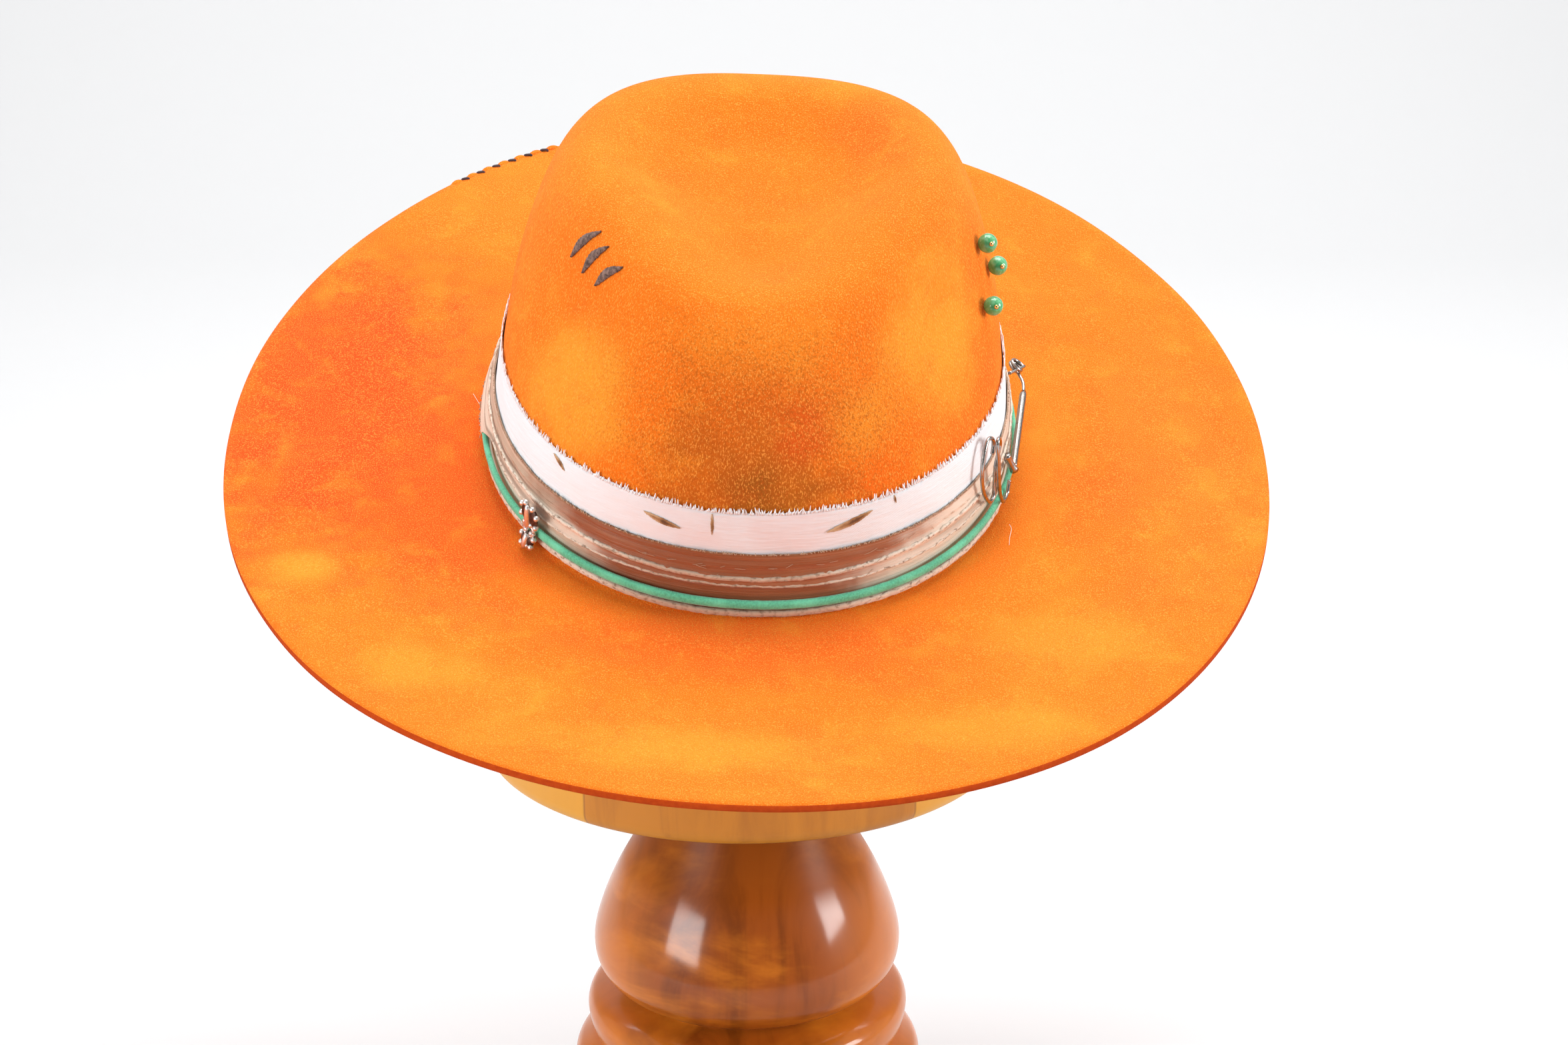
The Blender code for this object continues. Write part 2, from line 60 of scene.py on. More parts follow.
# The crown's outer skin, one row per ring from the brim break up over the rim to the dent's floor
# Columns: half_width, front_y, back_y, front_z, side_z, back_z, square, taper
CROWN = np.array([
    [0.0895, -0.1020, 0.1030, 0.0000, 0.0000, 0.0000, 2.10, 0.00],
    [0.0880, -0.1000, 0.1015, 0.0200, 0.0200, 0.0200, 2.10, 0.00],
    [0.0850, -0.0970, 0.0990, 0.0400, 0.0410, 0.0420, 2.10, 0.01],
    [0.0818, -0.0885, 0.0955, 0.0620, 0.0610, 0.0640, 2.10, 0.03],
    [0.0755, -0.0780, 0.0885, 0.0820, 0.0820, 0.0840, 2.20, 0.06],
    [0.0680, -0.0685, 0.0780, 0.0930, 0.0985, 0.0965, 2.35, 0.10],
    [0.0590, -0.0600, 0.0665, 0.0960, 0.1070, 0.1035, 2.50, 0.17],
    [0.0480, -0.0515, 0.0560, 0.0948, 0.1060, 0.1037, 2.40, 0.26],
    [0.0370, -0.0425, 0.0460, 0.0925, 0.0992, 0.0988, 2.20, 0.32],
    [0.0265, -0.0325, 0.0365, 0.0905, 0.0938, 0.0942, 2.10, 0.32],
    [0.0140, -0.0180, 0.0240, 0.0898, 0.0905, 0.0914, 2.00, 0.20],
])
DENT_FLOOR = np.array([0.0, 0.003, 0.0898])
RIM_ROW = 5.5
LAST_ROW = float(len(CROWN) - 1)
PINCH_ANGLE = math.radians(50)
PINCH_SPREAD = math.radians(24)
PINCH_HEIGHT = 0.078
PINCH_REACH = 0.024
PINCH_DEPTH = 0.007
BREAK_RADIUS = 0.004
BRIM_RISE = {"front": 0.0136, "back": 0.0052, "left": -0.0025, "right": 0.0041}
BRIM_RISE_POWER = 1.8
BRIM_FRONT_SQUARE = 2.09
SEAT_GAP = 0.0004
HEAD_RADIUS = 0.0968
HEAD_CENTRE = 0.2942

# The stand's post: height above the floor, radius
POST = np.array([
    (0.2072, 0.0370), (0.1960, 0.0350), (0.1860, 0.0350), (0.1785, 0.0376), (0.1680, 0.0425),
    (0.1540, 0.0500), (0.1400, 0.0556), (0.1295, 0.0580), (0.1210, 0.0568), (0.1149, 0.0522),
    (0.1129, 0.0473), (0.1105, 0.0500), (0.1070, 0.0580), (0.1025, 0.0608), (0.0975, 0.0606),
    (0.0925, 0.0590), (0.0898, 0.0570), (0.0875, 0.0600), (0.0830, 0.0650), (0.0775, 0.0662),
    (0.0715, 0.0640), (0.0680, 0.0580), (0.0600, 0.0500), (0.0500, 0.0500), (0.0400, 0.0570),
    (0.0320, 0.0690), (0.0270, 0.0820), (0.0240, 0.0880), (0.0205, 0.0918), (0.0040, 0.0930),
    (0.0000, 0.0910),
])

# The band's pieces: degrees round the hat (front is -90), height, stand-off from the felt
PIN_COIL = (10.2, 0.0172, 0.0070)
PIN_SLEEVE = ((4.2, 0.0141, 0.0079), (-19.2, 0.0126, 0.0056))
PIN_FRONT_LEG = ((7.2, 0.0152, 0.0082), (4.6, 0.0142, 0.0080))
PIN_BACK_LEG = ((7.6, 0.0180, 0.0042), (5.0, 0.0171, 0.0014), (-17.6, 0.0170, 0.0012),
                (-19.6, 0.0168, 0.0036))
COIL_RADIUS = 0.0024
COIL_TURNS = 2.25
COIL_WIDTH = 0.0026
SLEEVE_RADIUS = 0.0013
CLIP_ROUTE = (
    (-29.4, 0.0298, 0.0040), (-28.4, 0.0323, 0.0040), (-28.6, 0.0348, 0.0041), (-30.0, 0.0366, 0.0041),
    (-31.6, 0.0357, 0.0040), (-33.6, 0.0312, 0.0040), (-34.4, 0.0252, 0.0040), (-34.0, 0.0194, 0.0042),
    (-32.1, 0.0142, 0.0046), (-30.2, 0.0145, 0.0046), (-29.4, 0.0185, 0.0044), (-28.7, 0.0244, 0.0044),
    (-27.2, 0.0281, 0.0046), (-26.4, 0.0312, 0.0050), (-27.5, 0.0345, 0.0056), (-28.9, 0.0342, 0.0060),
    (-29.4, 0.0280, 0.0062), (-29.7, 0.0216, 0.0062), (-28.9, 0.0145, 0.0060), (-26.7, 0.0084, 0.0058),
    (-23.9, 0.0077, 0.0056), (-22.8, 0.0100, 0.0056), (-22.4, 0.0118, 0.0056),
)
BEADS = ((-8.5, 0.0838), (-5.6, 0.0732), (-15.1, 0.0672))
SLASHES = (
    ((-152.4, 0.0880), (-146.5, 0.1005)),
    ((-146.6, 0.0864), (-141.3, 0.0985)),
    ((-140.8, 0.0859), (-133.7, 0.0960)),
)

# The charm's place, how far it stands off, how much its foot leans out, and the size of a granule
CHARM_ANGLE = -138.0
CHARM_HEIGHT = 0.0080
CHARM_STAND_OFF = 0.0048
CHARM_LEAN = 0.30
CHARM_GRANULE = 0.00105
# Its wings: middle, half sizes, and how many granules stand on the rim
CHARM_WINGS = (
    ((-0.0020, 0.0144), (0.0026, 0.0042), 6),
    ((0.0023, 0.0139), (0.0023, 0.0040), 5),
    ((-0.0013, 0.0048), (0.0021, 0.0030), 5),
    ((0.0017, 0.0050), (0.0018, 0.0027), 5),
)

# Burn slits in the cotton strip: start, end (degrees, height), width, how far the lens bows
SCORCH_SLITS = (
    ((-137.2, 0.0364), (-133.2, 0.0336), 0.0016, 0.0002),
    ((-112.8, 0.0334), (-104.6, 0.0306), 0.0021, -0.0003),
    ((-98.2, 0.0374), (-97.9, 0.0300), 0.0010, 0.0001),
    ((-73.9, 0.0306), (-63.6, 0.0350), 0.0024, -0.0003),
    ((-58.3, 0.0376), (-57.9, 0.0346), 0.0007, 0.0001),
)

# The ribbon's folds: height in front, phase of the wander, rise over the felt, half width, climb at the sides
FOLDS = (
    (0.0030, 0.4, 0.0010, 0.0011, 0.0000),
    (0.0132, 1.9, 0.0010, 0.0011, -0.0010),
    (0.0158, 2.6, 0.0011, 0.0013, 0.0030),
    (0.0196, 3.1, 0.0005, 0.0014, 0.0016),
)
# The rubbed edges of the first three folds: half width, and how far each stands out
FOLD_EDGES = ((0.0014, 0.0011), (0.0005, 0.00025), (0.0009, 0.00025))
RIBBON_BOTTOM = 0.0032
RIBBON_TOP = 0.0240
RIBBON_LIFT = 0.0014
RIBBON_MOST_LIFT = 0.0031
RIBBON_CLOTH = 0.0004

# On the far left the ribbon's end laps over the lace: its ends in degrees, and its section as heights and
# distances from the felt
LAP_ENDS = (-206.0, -162.0)
LAP_SECTION = ((0.0034, 0.0050, 0.0070, 0.0095, 0.0115, 0.0135, 0.0160, 0.0196),
               (0.0033, 0.0046, 0.0049, 0.0049, 0.0046, 0.0038, 0.0027, 0.0018))
LAP_CLIMB = 0.0084

# Whip stitches on the brim's edge: how many, the first in degrees, and the step from one to the next
STITCHES = 6
STITCH_FIRST = 129.6
STITCH_STEP = 2.28

# Radii that lay the UVs of the bands out in metres
RIBBON_ROUND = 0.096
STRIP_ROUND = 0.093
LOOP_ROUND = 0.095

# The camera's place from the centre of the hat's opening, its pitch and its lens
CAMERA_FROM_OPENING = (0.0122, -0.8875, 0.2533)
CAMERA_PITCH = math.radians(18)
CAMERA_LENS = 60


class FedoraSizes(bpy.types.PropertyGroup):
    """Sizes of the hat."""
    felt: bpy.props.FloatProperty(name="Felt", description="Thickness of the felt", default=0.0022,
                                  unit="LENGTH")
    brim_half_width: bpy.props.FloatProperty(name="Brim Half Width", description="Side reach of the brim",
                                             default=0.1811, unit="LENGTH")
    brim_front: bpy.props.FloatProperty(name="Brim Front", description="Front reach of the brim",
                                        default=0.2029, unit="LENGTH")
    brim_back: bpy.props.FloatProperty(name="Brim Back", description="Back reach of the brim",
                                       default=0.2055, unit="LENGTH")
    tilt: bpy.props.FloatProperty(name="Tilt", description="How far the hat tips forward",
                                  default=math.radians(20.2), subtype="ANGLE")
    lean: bpy.props.FloatProperty(name="Lean", description="How far the hat leans to the right",
                                  default=math.radians(2.7), subtype="ANGLE")
    ripple: bpy.props.FloatProperty(name="Ripple", description="Height of the felt's soft unevenness",
                                    default=0.0004, unit="LENGTH")


class BandSizes(bpy.types.PropertyGroup):
    """Sizes of the band and what is pinned to it."""
    strip_bottom: bpy.props.FloatProperty(name="Strip Bottom", description="Lower edge of the cotton strip",
                                          default=0.0208, unit="LENGTH")
    strip_top: bpy.props.FloatProperty(name="Strip Top", description="Frayed upper edge of the cotton strip",
                                       default=0.0384, unit="LENGTH")
    fray: bpy.props.FloatProperty(name="Fray", description="Longest frayed thread", default=0.0026,
                                  unit="LENGTH")
    lace_width: bpy.props.FloatProperty(name="Lace Width", description="Width of the suede lace",
                                        default=0.0030, unit="LENGTH")
    lace_height: bpy.props.FloatProperty(name="Lace Height", description="Height of the lace's middle",
                                         default=0.0070, unit="LENGTH")
    bead: bpy.props.FloatProperty(name="Bead", description="Diameter of a stone bead", default=0.0066,
                                  unit="LENGTH")
    wire: bpy.props.FloatProperty(name="Wire", description="Diameter of the pin's and clip's wire",
                                  default=0.0012, unit="LENGTH")


class FedoraColours(bpy.types.PropertyGroup):
    """Colours of the finishes."""
    orange: bpy.props.FloatVectorProperty(name="Orange", description="Main dye of the felt", size=3,
                                          default=(0.92, 0.178, 0.006), subtype="COLOR")
    red: bpy.props.FloatVectorProperty(name="Red Orange", description="Redder dye on the left of the brim",
                                       size=3, default=(0.86, 0.070, 0.006), subtype="COLOR")
    gold: bpy.props.FloatVectorProperty(name="Gold", description="Yellow patches in the dye", size=3,
                                        default=(0.95, 0.310, 0.022), subtype="COLOR")
    scorch: bpy.props.FloatVectorProperty(name="Scorch", description="Olive brown of the burnt front",
                                          size=3, default=(0.29, 0.082, 0.007), subtype="COLOR")
    cotton: bpy.props.FloatVectorProperty(name="Cotton", description="Strip of cotton cloth", size=3,
                                          default=(0.80, 0.865, 0.91), subtype="COLOR")
    chestnut: bpy.props.FloatVectorProperty(name="Chestnut", description="Satin at the front", size=3,
                                            default=(0.27, 0.075, 0.024), subtype="COLOR")
    cream: bpy.props.FloatVectorProperty(name="Cream", description="Satin at the sides and folded edges",
                                         size=3, default=(0.76, 0.65, 0.53), subtype="COLOR")
    jade: bpy.props.FloatVectorProperty(name="Jade", description="Stone beads", size=3,
                                        default=(0.055, 0.36, 0.13), subtype="COLOR")
    suede: bpy.props.FloatVectorProperty(name="Suede", description="Green suede lace", size=3,
                                         default=(0.13, 0.56, 0.34), subtype="COLOR")
    maple: bpy.props.FloatVectorProperty(name="Maple", description="Head of the stand", size=3,
                                         default=(0.50, 0.180, 0.013), subtype="COLOR")
    varnish: bpy.props.FloatVectorProperty(name="Varnished Wood", description="Post of the stand", size=3,
                                           default=(0.33, 0.072, 0.006), subtype="COLOR")


def sizes():
    return bpy.context.scene.fedora_sizes


def band_sizes():
    return bpy.context.scene.fedora_band


def colours():
    return bpy.context.scene.fedora_colours


# The hat's surface

def around(count):
    """Evenly spaced angles of one full turn."""
    return np.linspace(0, 2 * math.pi, count, endpoint=False)


def superellipse(angle, power):
    """A unit oval, rounder or squarer as the power grows from 2: (across, along)."""
    cosine, sine = np.cos(angle), np.sin(angle)
    reach = (np.abs(cosine) ** power + np.abs(sine) ** power) ** (-1 / power)
    return reach * cosine, reach * sine


def between_rows(rows, where):
    """Smooth values of a table at fractional rows, by Catmull-Rom curves."""
    where = np.atleast_1d(np.asarray(where, float))
    last = len(rows) - 1
    first = np.clip(np.floor(where).astype(int), 0, last - 1)
    share = (where - first)[:, None]
    before, here = rows[np.maximum(first - 1, 0)], rows[first]
    there, after = rows[first + 1], rows[np.minimum(first + 2, last)]
    return 0.5 * (2 * here + (there - before) * share
                  + (2 * before - 5 * here + 4 * there - after) * share ** 2
                  + (3 * here - before - 3 * there + after) * share ** 3)


def crown_skin(row, angle):
    """Points of the crown's outer skin at fractional rows and angles of the same count."""
    half_width, front_y, back_y, front_z, side_z, back_z, square, taper = between_rows(CROWN, row).T
    across, along = superellipse(angle, square)
    x = half_width * across * (1 - taper * np.clip(-along, 0, 1))
    y = (front_y + back_y) / 2 + (back_y - front_y) / 2 * along
    end_share = np.sin(angle) ** 2
    z = side_z * (1 - end_share) + np.where(np.sin(angle) < 0, front_z, back_z) * end_share
    from_front = np.abs(np.angle(np.exp(1j * (angle + math.pi / 2))))
    pinch = PINCH_DEPTH * np.exp(-((from_front - PINCH_ANGLE) / PINCH_SPREAD) ** 2)
    pinch = pinch * np.exp(-((z - PINCH_HEIGHT) / PINCH_REACH) ** 2)
    inward = 1 - pinch / np.hypot(x, y)
    return np.stack([x * inward, y * inward, z], -1)


def plan_normal(points):
    """Level directions that point out from the crown's oval."""
    half_width, front_y, back_y = CROWN[0][:3]
    half_length = (back_y - front_y) / 2
    flat = np.zeros(len(points))
    normal = np.stack([points[:, 0] / half_width ** 2, points[:, 1] / half_length ** 2, flat], -1)
    return normal / np.linalg.norm(normal, axis=1, keepdims=True)


def row_at(angle, height):
    """The crown row that lies at each height on the wall."""
    angle, height = np.broadcast_arrays(np.asarray(angle, float), np.asarray(height, float))
    low, high = np.zeros(angle.shape), np.full(angle.shape, RIM_ROW)
    for _ in range(32):
        middle = (low + high) / 2
        under = crown_skin(middle, angle)[:, 2] < height
        low, high = np.where(under, middle, low), np.where(under, high, middle)
    return (low + high) / 2


def wall(angle, height, stand_off=0.0):
    """Points on the crown's wall, moved out from the felt by stand_off. Arrays of one length."""
    angle, height, off = np.broadcast_arrays(*(np.atleast_1d(np.asarray(v, float))
                                               for v in (angle, height, stand_off)))
    points = crown_skin(row_at(angle, height), angle)
    return points + plan_normal(points) * off[:, None]


def wall_frame(angle, height):
    """Point, direction round the hat, direction up the wall, and outward normal."""
    here = wall(angle, height)[0]
    round_hat = wall(angle + 0.01, height)[0] - wall(angle - 0.01, height)[0]
    up = wall(angle, height + 0.0006)[0] - wall(angle, height - 0.0006)[0]
    round_hat, up = round_hat / np.linalg.norm(round_hat), up / np.linalg.norm(up)
    normal = np.cross(round_hat, up)
    return here, round_hat, up, normal / np.linalg.norm(normal)


def stations(rows):
    """Points from (degrees, height, stand-off) stations."""
    data = np.array(rows, float)
    return wall(np.radians(data[:, 0]), data[:, 1], data[:, 2])


def brim_skin(share, angle):
    """The brim's upper skin at one share from the break (0) to the cut edge (1)."""
    inner = wall(angle, BREAK_RADIUS, BREAK_RADIUS)
    cosine, sine = np.cos(angle), np.sin(angle)
    across, along = superellipse(angle, np.where(sine < 0, BRIM_FRONT_SQUARE, 2.0))
    edge_x = sizes().brim_half_width * across
    edge_y = np.where(sine < 0, sizes().brim_front, sizes().brim_back) * along
    rise = np.where(cosine > 0, BRIM_RISE["right"], BRIM_RISE["left"]) * cosine ** 2
    rise = rise + np.where(sine < 0, BRIM_RISE["front"], BRIM_RISE["back"]) * sine ** 2
    x = inner[:, 0] * (1 - share) + edge_x * share
    y = inner[:, 1] * (1 - share) + edge_y * share
    return np.stack([x, y, rise * share ** BRIM_RISE_POWER], -1)


def hat_matrix():
    """The hat's frame on the stand: its opening lowered onto the domed head."""
    inner_levels = (0.003, 0.006, 0.010, 0.020, 0.030)
    skin = np.concatenate([wall(around(48), level, -sizes().felt) for level in inner_levels])
    low, high = 0.0, HEAD_RADIUS
    for _ in range(40):
        middle = (low + high) / 2
        nearest = np.linalg.norm(skin + np.array([0, 0, middle]), axis=1).min()
        low, high = (middle, high) if nearest < HEAD_RADIUS + SEAT_GAP else (low, middle)
    lean = Matrix.Rotation(sizes().tilt, 4, "X") @ Matrix.Rotation(sizes().lean, 4, "Y")
    return Matrix.Translation(Vector((0, 0, HEAD_CENTRE)) + lean @ Vector((0, 0, low))) @ lean


def between(value, low, high):
    """A smooth step from 0 at low to 1 at high."""
    share = np.clip((value - low) / (high - low), 0, 1)
    return share * share * (3 - 2 * share)


def soft_noise(points, scale, seed):
    """Smooth repeatable unevenness between about -1 and 1."""
    generator = np.random.default_rng(seed)
    total = np.zeros(len(points))
    for _ in range(5):
        direction = generator.normal(size=3)
        direction *= scale * generator.uniform(0.6, 1.4) / np.linalg.norm(direction)
        total += np.sin(points @ direction + generator.uniform(0, 2 * math.pi))
    return total / 3


# Mesh helpers

def new_piece(name, mesh, material, replaces=(), matrix=None):
    """An object with its mesh and material, placed and riding on the one body."""
    piece = bpy.data.objects.new(name, mesh)
    bpy.context.scene.collection.objects.link(piece)
    mesh.transform(hat_matrix() if matrix is None else matrix)
    if material is not None:
        mesh.materials.append(material)
    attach(piece, "root")
    if replaces:
        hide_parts(*replaces)
    return piece


def thicken(piece, name, thickness):
    """Gives a sheet its thickness, inwards from the face that is modelled."""
    shell = piece.modifiers.new(name, "SOLIDIFY")
    shell.thickness = thickness
    shell.offset = -1
    return shell


def grid_faces(rows, columns, wrap_rows, wrap_columns):
    faces = []
    for i in range(rows if wrap_rows else rows - 1):
        for j in range(columns if wrap_columns else columns - 1):
            k, n = (i + 1) % rows, (j + 1) % columns
            faces.append((i * columns + j, k * columns + j, k * columns + n, i * columns + n))
    return faces


def mesh_from(name, points, faces, uv=None, weld=False, outward=False):
    """A smooth mesh; uv holds one (u, v) pair for each vertex. outward is for closed meshes."""
    mesh = bpy.data.meshes.new(name)
    mesh.from_pydata(np.asarray(points).tolist(), [], faces)
    if uv is not None:
        layer = mesh.uv_layers.new(name="UVMap")
        loops = np.empty(len(mesh.loops), int)
        mesh.loops.foreach_get("vertex_index", loops)
        layer.data.foreach_set("uv", np.asarray(uv, float)[loops].ravel())
    if weld or outward:
        work = bmesh.new()
        work.from_mesh(mesh)
        bmesh.ops.remove_doubles(work, verts=work.verts, dist=1e-6)
        if outward:
            bmesh.ops.recalc_face_normals(work, faces=work.faces)
        work.to_mesh(mesh)
        work.free()
    mesh.shade_smooth()
    return mesh


def smooth_path(points, steps):
    """A Catmull-Rom curve through points, with this many steps from one to the next."""
    points = np.asarray(points, float)
    return between_rows(points, np.linspace(0, len(points) - 1, (len(points) - 1) * steps + 1))


def tube_parts(path, radius, sides, base=0):
    """Points and faces of a capped tube along a path; radius is one value or one per point."""
    path = np.asarray(path, float)
    radius = np.broadcast_to(np.asarray(radius, float), (len(path),))
    tangent = np.gradient(path, axis=0)
    tangent /= np.linalg.norm(tangent, axis=1, keepdims=True) + 1e-12
    helper = np.array([0.0, 0, 1]) if abs(tangent[0][2]) < 0.9 else np.array([1.0, 0, 0])
    normal = np.cross(tangent[0], helper)
    points = []
    for i, place in enumerate(path):
        normal = normal - tangent[i] * (normal @ tangent[i])
        normal /= np.linalg.norm(normal) + 1e-12
        other = np.cross(tangent[i], normal)
        for k in range(sides):
            turn = 2 * math.pi * k / sides
            points.append(place + radius[i] * (math.cos(turn) * normal + math.sin(turn) * other))
    faces = [tuple(base + v for v in face) for face in grid_faces(len(path), sides, False, True)]
    faces.append(tuple(base + k for k in range(sides)))
    end = base + (len(path) - 1) * sides
    faces.append(tuple(end + k for k in reversed(range(sides))))
    return points, faces


def tubes_mesh(name, tubes):
    """One mesh of several tubes, each (path, radius, sides)."""
    points, faces = [], []
    for path, radius, sides in tubes:
        more_points, more_faces = tube_parts(path, radius, sides, len(points))
        points += more_points
        faces += more_faces
    return mesh_from(name, points, faces, outward=True)


def wall_columns(angle, corners):
    """Points on the wall, one column for each (height, stand-off) and one row for each angle."""
    return np.stack([wall(angle, height, off) for height, off in corners], 1)


def wall_uv(angle, heights, radius):
    """UVs in metres for such columns: the way round at a radius, and the height."""
    up = np.stack([np.broadcast_to(height, angle.shape) for height in heights], 1)
    return np.stack([np.repeat(angle * radius, len(heights)), up.ravel()], -1)


def wall_sheet(name, angle, points, heights, radius, closed=True):
    """A sheet of cloth on the wall from its columns of points."""
    faces = grid_faces(points.shape[0], points.shape[1], closed, False)
    return mesh_from(name, points.reshape(-1, 3), faces, wall_uv(angle, heights, radius))


def band_loop(name, section, segments=480):
    """A closed ring round the crown. section(angle array) gives (height, stand_off) arrays per corner."""
    angle = around(segments)
    corners = section(angle)
    points = wall_columns(angle, corners).reshape(-1, 3)
    uv = wall_uv(angle, [height for height, _ in corners], LOOP_ROUND)
    return mesh_from(name, points, grid_faces(segments, len(corners), True, True), uv, outward=True)


def lens_patch(name, start, end, width, bow, stand_off, dome, steps=30, across=7, ragged=0.0, seed=1):
    """A pointed patch on the wall from start to end, each (degrees, height), domed across its width."""
    share = np.linspace(0, 1, steps)
    angle = np.radians(start[0] + (end[0] - start[0]) * share)
    height = start[1] + (end[1] - start[1]) * share
    line = wall(angle, height, stand_off)
    up = wall(angle, height + 0.0008, stand_off) - line
    along = np.gradient(line, axis=0)
    along /= np.linalg.norm(along, axis=1, keepdims=True)
    round_hat = wall(angle + 0.01, height, stand_off) - line
    normal = np.cross(round_hat, up)
    normal /= np.linalg.norm(normal, axis=1, keepdims=True)
    side = np.cross(normal, along)
    generator = np.random.default_rng(seed)
    swell = np.sin(math.pi * share)
    half = width / 2 * (0.10 + 0.90 * swell ** 0.75)
    points = []
    for t in np.linspace(-1, 1, across):
        wobble = generator.normal(size=steps) * ragged * (abs(t) == 1)
        sideways = bow * swell + t * half + wobble
        points.append(line + side * sideways[:, None] + normal * (dome * (1 - t * t)))
    points = np.stack(points, 1).reshape(-1, 3)
    uv = np.stack(np.meshgrid(share, np.linspace(0, 1, across), indexing="ij"), -1).reshape(-1, 2)
    return mesh_from(name, points, grid_faces(steps, across, False, False), uv)


# Shader helpers

def node_group(name, inputs, outputs):
    """An empty shader node group with named sockets: (tree, input node, output node)."""
    tree = bpy.data.node_groups.new(name, "ShaderNodeTree")
    for label, kind, value in inputs:
        socket = tree.interface.new_socket(label, in_out="INPUT", socket_type=kind)
        socket.default_value = value
    for label, kind in outputs:
        tree.interface.new_socket(label, in_out="OUTPUT", socket_type=kind)
    return tree, tree.nodes.new("NodeGroupInput"), tree.nodes.new("NodeGroupOutput")


class Shader:
    """A material under construction, with short ways to add and join its nodes."""

    def __init__(self, name=None, tree=None):
        if tree is None:
            self.material = bpy.data.materials.new(name)
            self.material.use_nodes = True
            tree = self.material.node_tree
            self.surface = tree.nodes["Principled BSDF"]
        self.tree = tree

    def put(self, socket, value):
        if isinstance(value, bpy.types.NodeSocket):
            self.tree.links.new(value, socket)
        elif hasattr(socket.default_value, "__len__") and hasattr(value, "__len__"):
            socket.default_value = tuple(value) + (1,) * (len(socket.default_value) - len(value))
        else:
            socket.default_value = value

    def node(self, kind, settings=None, **inputs):
        made = self.tree.nodes.new(kind)
        for key, value in (settings or {}).items():
            setattr(made, key, value)
        for key, value in inputs.items():
            self.put(made.inputs[key.replace("_", " ")], value)
        return made

    def noise(self, vector, scale, detail=3.0, rough=0.55, distortion=0.0):
        return self.node("ShaderNodeTexNoise", Vector=vector, Scale=scale, Detail=detail, Roughness=rough,
                         Distortion=distortion).outputs["Fac"]

    def ramp(self, value, low, high, to_low=0.0, to_high=1.0):
        made = self.node("ShaderNodeMapRange", {"interpolation_type": "SMOOTHSTEP"}, Value=value,
                         From_Min=low, From_Max=high, To_Min=to_low, To_Max=to_high)
        return made.outputs["Result"]

    def math(self, operation, first, second=0.0, third=0.0):
        made = self.node("ShaderNodeMath", {"operation": operation})
        for socket, value in zip(made.inputs, (first, second, third)):
            self.put(socket, value)
        return made.outputs[0]

    def mix(self, share, first, second, blend="MIX"):
        made = self.node("ShaderNodeMix", {"data_type": "RGBA", "blend_type": blend})
        self.put(made.inputs[0], share)
        self.put(made.inputs[6], first)
        self.put(made.inputs[7], second)
        return made.outputs[2]

    def split(self, vector):
        """The three parts of a vector."""
        return self.node("ShaderNodeSeparateXYZ", Vector=vector).outputs

    def vector(self, operation, *values):
        made = self.node("ShaderNodeVectorMath", {"operation": operation})
        for socket, value in zip(made.inputs, values):
            self.put(socket, value)
        return made.outputs

    def apart(self, first, second):
        """The distance between two values."""
        return self.math("ABSOLUTE", self.math("SUBTRACT", first, second))

    def sway(self, noise, reach):
        """A noise as a shift to either side."""
        return self.math("MULTIPLY", self.math("SUBTRACT", noise, 0.5), reach)

    def group(self, tree, **inputs):
        made = self.tree.nodes.new("ShaderNodeGroup")
        made.node_tree = tree
        for key, value in inputs.items():
            self.put(made.inputs[key.replace("_", " ")], value)
        return made.outputs[0]

    def place(self, on_hat=True):
        """Position in the hat's own frame, or else in the stand's."""
        position = self.node("ShaderNodeTexCoord").outputs["Object"]
        if not on_hat:
            return position
        hat = hat_matrix()
        return self.node("ShaderNodeMapping", {"vector_type": "TEXTURE"}, Vector=position,
                         Location=hat.translation, Rotation=hat.to_euler()).outputs["Vector"]

    def uv(self):
        return self.node("ShaderNodeUVMap", {"uv_map": "UVMap"}).outputs["UV"]

    def stretch(self, vector, scale):
        return self.node("ShaderNodeMapping", Vector=vector, Scale=scale).outputs["Vector"]

    def bump(self, height, distance, strength=1.0):
        made = self.node("ShaderNodeBump", Height=height, Distance=distance, Strength=strength)
        self.tree.links.new(made.outputs["Normal"], self.surface.inputs["Normal"])

    def finish(self, colour, roughness, **fixed):
        self.put(self.surface.inputs["Base Color"], colour)
        self.put(self.surface.inputs["Roughness"], roughness)
        for key, value in fixed.items():
            self.put(self.surface.inputs[key.replace("_", " ")], value)
        return self.material


def soft_patch_group():
    """A mask that fades from 1 at Centre to 0 at Reach, with a ragged edge."""
    found = bpy.data.node_groups.get("soft_patch")
    if found:
        return found
    tree, start, end = node_group("soft_patch", (
        ("Position", "NodeSocketVector", (0, 0, 0)), ("Centre", "NodeSocketVector", (0, 0, 0)),
        ("Reach", "NodeSocketVector", (0.02, 0.02, 0.02)), ("Ragged", "NodeSocketFloat", 0.5),
        ("Edge", "NodeSocketFloat", 0.25)), (("Mask", "NodeSocketFloat"),))
    kit = Shader(tree=tree)
    given = start.outputs
    away = kit.vector("SUBTRACT", given["Position"], given["Centre"])[0]
    length = kit.vector("LENGTH", kit.vector("DIVIDE", away, given["Reach"])[0])["Value"]
    shift = kit.sway(kit.noise(given["Position"], 70, 6, 0.6), given["Ragged"])
    mask = kit.ramp(kit.math("ADD", length, shift), 1.0, given["Edge"])
    tree.links.new(mask, end.inputs["Mask"])
    return tree


